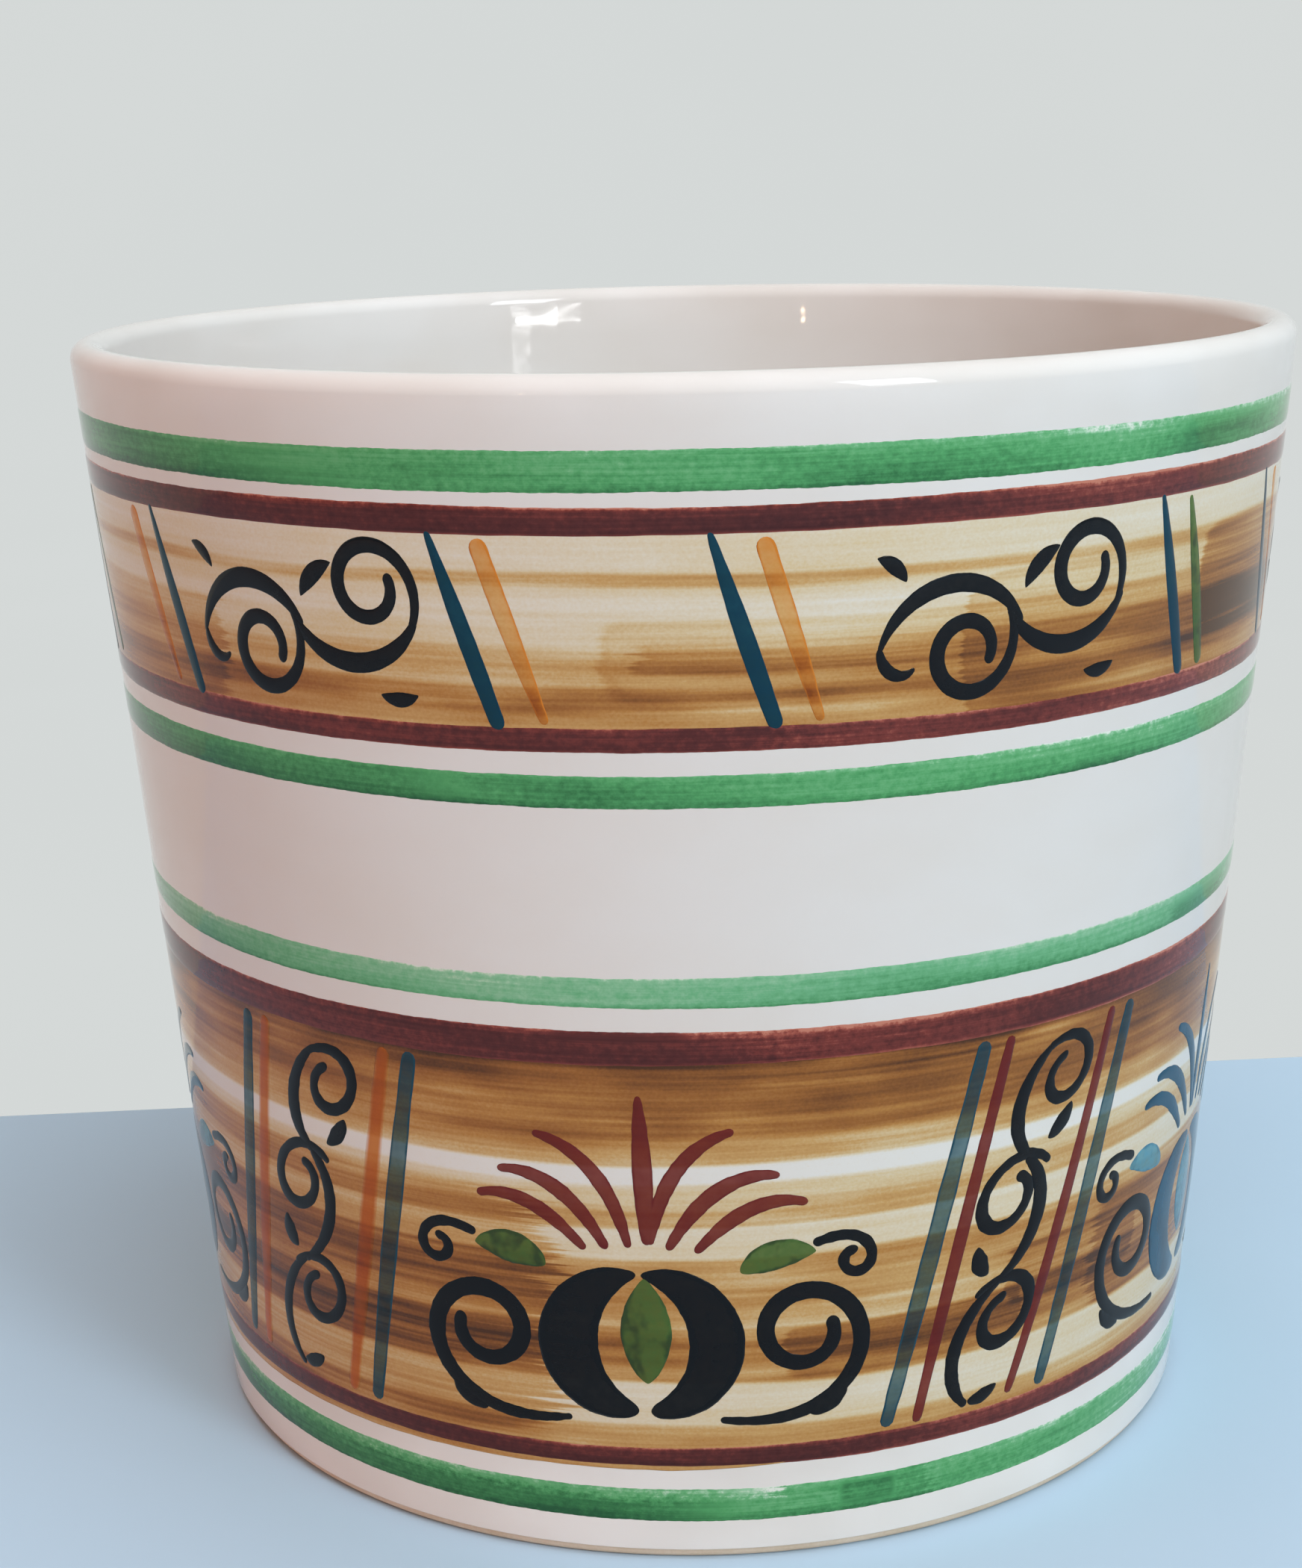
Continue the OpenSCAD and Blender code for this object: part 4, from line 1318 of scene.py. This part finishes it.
@dataclass
class LowerFrieze(Frieze):
    """Narrow panels of bars and tendrils between wide panels of palmettes."""

    narrow: Sequence[tuple[float, Panel]] = (
        (-42.5, Panel.ORANGE), (32.7, Panel.OXBLOOD), (103.5, Panel.ORANGE),
        (174, Panel.OXBLOOD), (245.5, Panel.OXBLOOD),
    )
    step_angle: float = 2.9
    lean_angle: float = 9.5
    bar_width: float = 3.3 * MM
    oxblood_width: float = 2.4 * MM
    bar_share: float = 0.98
    x_angle: float = 38.0
    dark: Sequence[float] = (-5.5, 138.6, 208.8)
    teal: Sequence[float] = (66.8, 280.5)

    def build(self) -> None:
        """Lays the ground, the panels' bars, the tendrils and the palmettes."""
        self.lay_ground()
        self.lay_bars()
        self.lay_tendrils()
        self.lay_palmettes()

    def lay_bars(self) -> None:
        """Two bars on either side of each narrow panel, the teal one outside."""
        bar, thin = (self.slanted(width, self.lean_angle, self.bar_share, Pull.DRAWN)
                     for width in (self.bar_width, self.oxblood_width))
        teal = [a + s * (p.value + self.step_angle) for a, p in self.narrow for s in (-1, 1)]
        self.bars("lower_teal_bars", Paint.THIN_TEAL, bar, teal)
        inner = {p: [a + s * p.value for a, q in self.narrow for s in (-1, 1) if q is p]
                 for p in Panel}
        self.bars("lower_orange_bars", Paint.SOFT_AMBER, bar, inner[Panel.ORANGE])
        self.bars("lower_oxblood_bars", Paint.THIN_OXBLOOD, thin, inner[Panel.OXBLOOD])

    def lay_tendrils(self) -> None:
        """A climbing stem with three spirals and three buds in each narrow panel."""
        strokes = [
            Stroke(-0.01, 0.02, 147, 0.39, -114, 0, 0.015, 0.045, 0.02),
            Stroke(-0.01, 0.34, 33, 0.39, 114, 0, 0.02, 0.045, 0.02),
            Stroke(-0.01, 0.66, 147, 0.34, -114, 0, 0.02, 0.045, 0.012),
            Stroke(-0.06, 0.315, 42, 0.57, -215, -185, 0.02, 0.038, 0.028),
            Stroke(0.06, 0.635, 138, 0.57, 215, 185, 0.02, 0.038, 0.028),
            Stroke(-0.04, 0.935, 35, 0.5, -215, -170, 0.02, 0.036, 0.026),
            Stroke(-0.05, 0.37, 150, 0.1, -50, 0, 0.01, 0.05, 0.01),
            Stroke(0.045, 0.69, 30, 0.1, 50, 0, 0.01, 0.05, 0.01),
            Stroke(0, 0.035, -5, 0.09, 50, 0, 0.01, 0.045, 0.01),
        ]
        patches = [Patch(a, self.low, self.tall, self.x_angle, self.lean_angle)
                   for a, _ in self.narrow]
        self.ornament("tendril_scrolls", Paint.MANGANESE_BLACK, strokes, patches)

    def wide(self, angles: Iterable[float]) -> list[Patch]:
        """The palmettes' patches at these angles."""
        return [Patch(a, self.low, self.tall, self.x_angle, y_share=0.95, lift_share=0.02)
                for a in angles]

    def lay_palmettes(self) -> None:
        """Bulb, scrolls, leaves and a fan of fronds, in black or in teal."""
        bulb = both_sides([Stroke(0.012, 0.085, 4, 0.575, 172, 0, 0.03, 0.165, 0.02)])
        scroll = both_sides([
            Stroke(0.19, 0.05, -8, 1.16, 80, 410, 0.02, 0.05, 0.036),
            Stroke(0.43, 0.545, 20, 0.36, 0, -400, 0.028, 0.034, 0.028),
            Stroke(0.42, 0.055, 10, 0.12, 50, 0, 0.01, 0.042, 0.01),
        ])
        leaf = [Stroke(0, 0.165, 90, 0.3, 0, 0, 0.02, 0.15, 0.01)] + both_sides([
            Stroke(0.245, 0.475, 38, 0.2, -50, 0, 0.02, 0.09, 0.01),
        ])
        frond = [Stroke(0, 0.55, 90, 0.41, 0, 0, 0.025, 0.052, 0.015)] + both_sides([
            Stroke(0.035, 0.55, 80, 0.4, -18, -50, 0.02, 0.046, 0.02),
            Stroke(0.085, 0.54, 62, 0.37, -14, -60, 0.02, 0.046, 0.02),
            Stroke(0.14, 0.53, 50, 0.33, -10, -60, 0.02, 0.042, 0.02),
        ])
        dark, teal = self.wide(self.dark), self.wide(self.teal)
        self.ornament("palmette_bulbs", Paint.MANGANESE_BLACK, bulb, dark)
        self.ornament("palmette_scrolls", Paint.MANGANESE_BLACK, scroll, dark + teal)
        self.ornament("palmette_leaves", Paint.LEAF_GREEN, leaf, dark)
        self.ornament("palmette_fronds", Paint.THIN_OXBLOOD, frond, dark)
        self.ornament("teal_palmette_bulbs", Paint.DEEP_TEAL, bulb, teal)
        self.ornament("teal_palmette_leaves", Paint.SKY_BLUE, leaf, teal)
        self.ornament("teal_palmette_fronds", Paint.DEEP_TEAL, frond, teal)


class Shine(Enum):
    """Whether a lamp lights surfaces, and whether it shows in their gloss."""

    LIGHT = (True, False)
    GLINT = (False, True)
    BOTH = (True, True)


@dataclass(frozen=True)
class Lamp:
    """One lamp: where it hangs, how large it is and how much light it gives.

    The azimuth is round the pot from the front, growing to +X. The share is the
    part of a white card's full brightness that it gives at the pot.
    """

    name: str
    azimuth: float
    elevation: float
    distance: float
    wide: float
    tall: float
    share: float
    colour: str
    shine: Shine = Shine.LIGHT

    def hang(self, target: Vector) -> None:
        """Adds the lamp, turned to the target.

        A lamp of pi squared watts at one metre lights a white card fully, and
        the need grows with the square of the distance.
        """
        data = bpy.data.lights.new(self.name, "AREA")
        data.shape = "RECTANGLE"
        data.size, data.size_y = self.wide, self.tall
        data.energy = self.share * (math.pi * self.distance) ** 2
        data.color = linear(self.colour)[:3]
        lamp = bpy.data.objects.new(self.name, data)
        a, e = math.radians(self.azimuth), math.radians(self.elevation)
        toward = Vector((math.sin(a) * math.cos(e), -math.cos(a) * math.cos(e), math.sin(e)))
        lamp.location = target + toward * self.distance
        lamp.rotation_euler = toward.to_track_quat("Z", "Y").to_euler()
        lamp.visible_diffuse, lamp.visible_glossy = self.shine.value
        bpy.context.scene.collection.objects.link(lamp)


@dataclass(frozen=True)
class Studio:
    """Pale table and backdrop, soft lamps, and the camera of the photograph."""

    # Where the camera stands, its turns in degrees, and its focal length and the frame's
    # long side in pixels of the photograph
    camera_place: tuple[float, float, float] = (0.0, -0.4471, 0.2112)
    pan: float = -0.87
    tilt: float = 13.89
    roll: float = -1.28
    focal_pixels: float = 3561
    long_pixels: float = 2100
    sensor: float = 36.0
    clip_start: float = 0.01
    # Two points of the table's far edge, and how far the stage runs to each side and forward
    edge_left: tuple[float, float] = (-0.1554, 0.1094)
    edge_right: tuple[float, float] = (0.1397, 0.1336)
    reach: float = 3.0
    # The backdrop's flat run, the radius of its sweep and its height
    flat: float = 0.9
    sweep: float = 0.6
    tall: float = 2.2
    table: str = "#C0DCF2"
    bounce: str = "#CBD5DA"
    wall: str = "#D6DAD9"
    stage_clouds: float = 6.0
    stage_dim: float = 0.97
    stage_roughness: float = 0.8
    stage_specular: float = 0.1
    ambient: float = 0.4
    # Where the lamps point: the middle of the pot
    aim: tuple[float, float, float] = (0.0, 0.0, 0.09)
    # Colour of the even light from the left side, 0, to the right side, 1
    sides: Sequence[tuple[float, str]] = (
        (0.0, "#85502E"), (0.3, "#C6A082"), (0.5, "#F5F4F2"), (1.0, "#D6E8F8"),
    )
    lamps: Sequence[Lamp] = (
        # Cool light from the right with a broad glow round it, warm light from the left,
        # one lamp overhead and a weak fill from behind
        Lamp("daylight", 38, 26, 2.2, 0.5, 1.0, 0.33, "#F0F6FC", Shine.BOTH),
        Lamp("daylight_glow", 30, 36, 1.6, 1.4, 1.2, 0.14, "#F4F6F8"),
        Lamp("warm_side", -66, 9, 1.5, 1.2, 1.0, 0.25, "#FF8240"),
        Lamp("overhead", 24, 67, 1.5, 1.4, 1.4, 0.57, "#FFFFFF"),
        Lamp("fill_behind", 200, 30, 1.6, 1.4, 1.2, 0.22, "#FFF8F0"),
        # Narrow strips and a spark that only the gloss shows, on the lip and inside
        Lamp("strip_1", 33.7, 8.48, 2.2, 0.38, 0.0135, 0.01, "#FFFFFF", Shine.GLINT),
        Lamp("strip_2", 25.9, 8.56, 2.2, 0.22, 0.006, 0.0014, "#FFFFFF", Shine.GLINT),
        Lamp("strip_3", 37, 8.05, 2.2, 0.19, 0.008, 0.0008, "#FFFFFF", Shine.GLINT),
        Lamp("strip_4", 37.4, 7.65, 2.2, 0.17, 0.008, 0.0007, "#FFFFFF", Shine.GLINT),
        Lamp("strip_5", 37.8, 7.15, 2.2, 0.14, 0.006, 0.0004, "#FFFFFF", Shine.GLINT),
        Lamp("spark", -27.5, 8.4, 2.2, 0.03, 0.009, 0.001, "#FFD9B0", Shine.GLINT),
    )

    def build(self) -> None:
        """Sets the view, the light and the stage."""
        self.set_camera()
        self.set_world()
        for lamp in self.lamps:
            lamp.hang(Vector(self.aim))
        self.lay_table()
        self.hang_backdrop()
        bpy.context.scene.view_settings.view_transform = "Standard"

    def set_camera(self) -> None:
        """Places the camera, whose focal length is set in pixels of the photograph."""
        data = bpy.data.cameras.new("camera")
        data.sensor_width = self.sensor
        data.lens = self.focal_pixels / self.long_pixels * self.sensor
        data.clip_start = self.clip_start
        pan, tilt, roll = (math.radians(v) for v in (self.pan, self.tilt, self.roll))
        ahead = Vector((math.sin(pan) * math.cos(tilt), math.cos(pan) * math.cos(tilt),
                        -math.sin(tilt)))
        level = Vector((math.cos(pan), -math.sin(pan), 0))
        over = level.cross(ahead)
        right = level * math.cos(roll) + over * math.sin(roll)
        up = over * math.cos(roll) - level * math.sin(roll)
        turn = Matrix((right, up, -ahead)).transposed()
        camera = bpy.data.objects.new("camera", data)
        camera.matrix_world = Matrix.Translation(self.camera_place) @ turn.to_4x4()
        bpy.context.scene.collection.objects.link(camera)
        bpy.context.scene.camera = camera

    def set_world(self) -> None:
        """Even light from all round, and a pale backdrop for the camera and for gloss.

        The light is warm from the left and cool from the right: its colour is a
        ramp over the X part of the direction that it comes from.
        """
        world = bpy.data.worlds.new("studio")
        world.use_nodes = True
        tree = world.node_tree
        tree.nodes.clear()
        side = add(tree, "SeparateXYZ", {0: add(tree, "TexCoord", out="Generated")}, out="X")
        side = add(tree, "MapRange", {"Value": side, "From Min": -1.0, "From Max": 1.0})
        tint = add(tree, "ValToRGB", {0: side}, stops=self.sides)
        light = add(tree, "Background", {"Color": tint, "Strength": self.ambient})
        seen = add(tree, "Background", {"Color": linear(self.wall), "Strength": 1.0})
        mixed = add(tree, "MixShader", {0: self.direct(tree), 1: light, 2: seen})
        add(tree, "OutputWorld", {"Surface": mixed})
        bpy.context.scene.world = world

    def direct(self, tree: Tree) -> Socket:
        """1 for the camera's rays and for those that gloss or glass sends on, else 0."""
        rays = add(tree, "LightPath").node.outputs
        seen = add(tree, "Math", {0: rays["Is Camera Ray"], 1: rays["Is Glossy Ray"]},
                   operation="MAXIMUM")
        return add(tree, "Math", {0: seen, 1: rays["Is Transmission Ray"]}, operation="MAXIMUM")

    def plain(self, name: str, code: str, glow: float, bounce: str) -> bpy.types.Material:
        """A matt stage colour with a faint unevenness of tone.

        Args:
            name: the material's name.
            code: its colour.
            glow: share of its own colour that the camera and gloss see unshaded.
            bounce: the colour of the light that it sends on to matt surfaces.

        Returns:
            The material.
        """
        made = bpy.data.materials.new(name)
        made.use_nodes = True
        tree = made.node_tree
        shader = tree.nodes["Principled BSDF"]
        place = add(tree, "TexCoord", out="Object")
        cloud = add(tree, "TexNoise", {"Vector": place, "Scale": self.stage_clouds})
        shade = linear(code)
        dim = (*(v * self.stage_dim for v in shade[:3]), 1.0)
        colour = add(tree, "Mix", {"Factor": cloud, "A": shade, "B": dim}, data_type="RGBA")
        direct = self.direct(tree)
        shown = add(tree, "Mix", {"Factor": direct, "A": linear(bounce), "B": colour},
                    data_type="RGBA")
        tree.links.new(shown, shader.inputs["Base Color"])
        shader.inputs["Roughness"].default_value = self.stage_roughness
        shader.inputs["Specular IOR Level"].default_value = self.stage_specular
        seen = add(tree, "Emission", {"Color": colour})
        share = add(tree, "Math", {0: direct, 1: glow}, operation="MULTIPLY")
        mixed = add(tree, "MixShader", {0: share, 1: shader.outputs[0], 2: seen})
        tree.links.new(mixed, tree.nodes["Material Output"].inputs["Surface"])
        return made

    def edge(self, x: Grid) -> Grid:
        """Depth of the table's far edge at each x, on the line through both its points."""
        (x0, y0), (x1, y1) = self.edge_left, self.edge_right
        return y0 + (y1 - y0) * (x - x0) / (x1 - x0)

    def sheet(self, name: str, grid: Grid, code: str, bounce: str, glow: float = 0.0) -> None:
        """Adds an open stage surface from a grid of points."""
        rows, columns = grid.shape[:2]
        index = np.arange(rows * columns).reshape(rows, columns)
        faces = np.stack([index[:-1, :-1], index[:-1, 1:], index[1:, 1:], index[1:, :-1]], -1)
        mesh = bpy.data.meshes.new(name)
        mesh.from_pydata(grid.reshape(-1, 3), [], faces.reshape(-1, 4))
        mesh.shade_smooth()
        mesh.materials.append(self.plain(name, code, glow, bounce))
        sheet = bpy.data.objects.new(name, mesh)
        bpy.context.scene.collection.objects.link(sheet)
        sheet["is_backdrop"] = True

    def lay_table(self) -> None:
        """A flat sheet from in front of the camera to the table's far edge."""
        x = np.array([-self.reach, self.reach])
        near = np.full(2, -self.reach)
        grid = np.stack([np.stack([x, y, np.zeros(2)], -1) for y in (near, self.edge(x))])
        self.sheet("table", grid, self.table, self.bounce)

    def hang_backdrop(self) -> None:
        """A sheet that runs on from the table's edge and sweeps up to a wall.

        Its profile is the flat run, a quarter circle of the sweep's radius, and
        then straight up; each point is shifted by the edge's line.
        """
        bend = arc((self.flat, self.sweep), self.sweep, -90, 0, 24)
        profile = np.concatenate([[(0, 0)], bend, [(self.flat + self.sweep, self.tall)]])
        x = np.array([-self.reach, self.reach])
        far = self.edge(x)
        grid = np.stack([
            np.broadcast_to(x, (len(profile), 2)), far + profile[:, :1],
            np.broadcast_to(profile[:, 1:], (len(profile), 2)),
        ], -1)
        self.sheet("backdrop", grid, self.wall, self.wall, glow=1.0)


def save_sizes() -> None:
    """Works out the CAD box and the visual model's box as plain lists of metres, but keeps neither.
    """
    boxes = {"cad": CAD_BOX, "visual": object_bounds()}
    {k: [list(map(float, corner)) for corner in box] for k, box in boxes.items()}


def main() -> None:
    """Builds the studio and then the pot from the clay outwards."""
    logging.basicConfig(level=logging.INFO, format="%(name)s %(message)s")
    Studio().build()
    cone = Cone()
    Vessel(cone).build()
    Bands(cone).build()
    UpperFrieze(cone, "upper_ground", seed=11).build()
    LowerFrieze(cone, "lower_ground", seed=12).build()
    save_sizes()


if __name__ == "__main__":
    main()
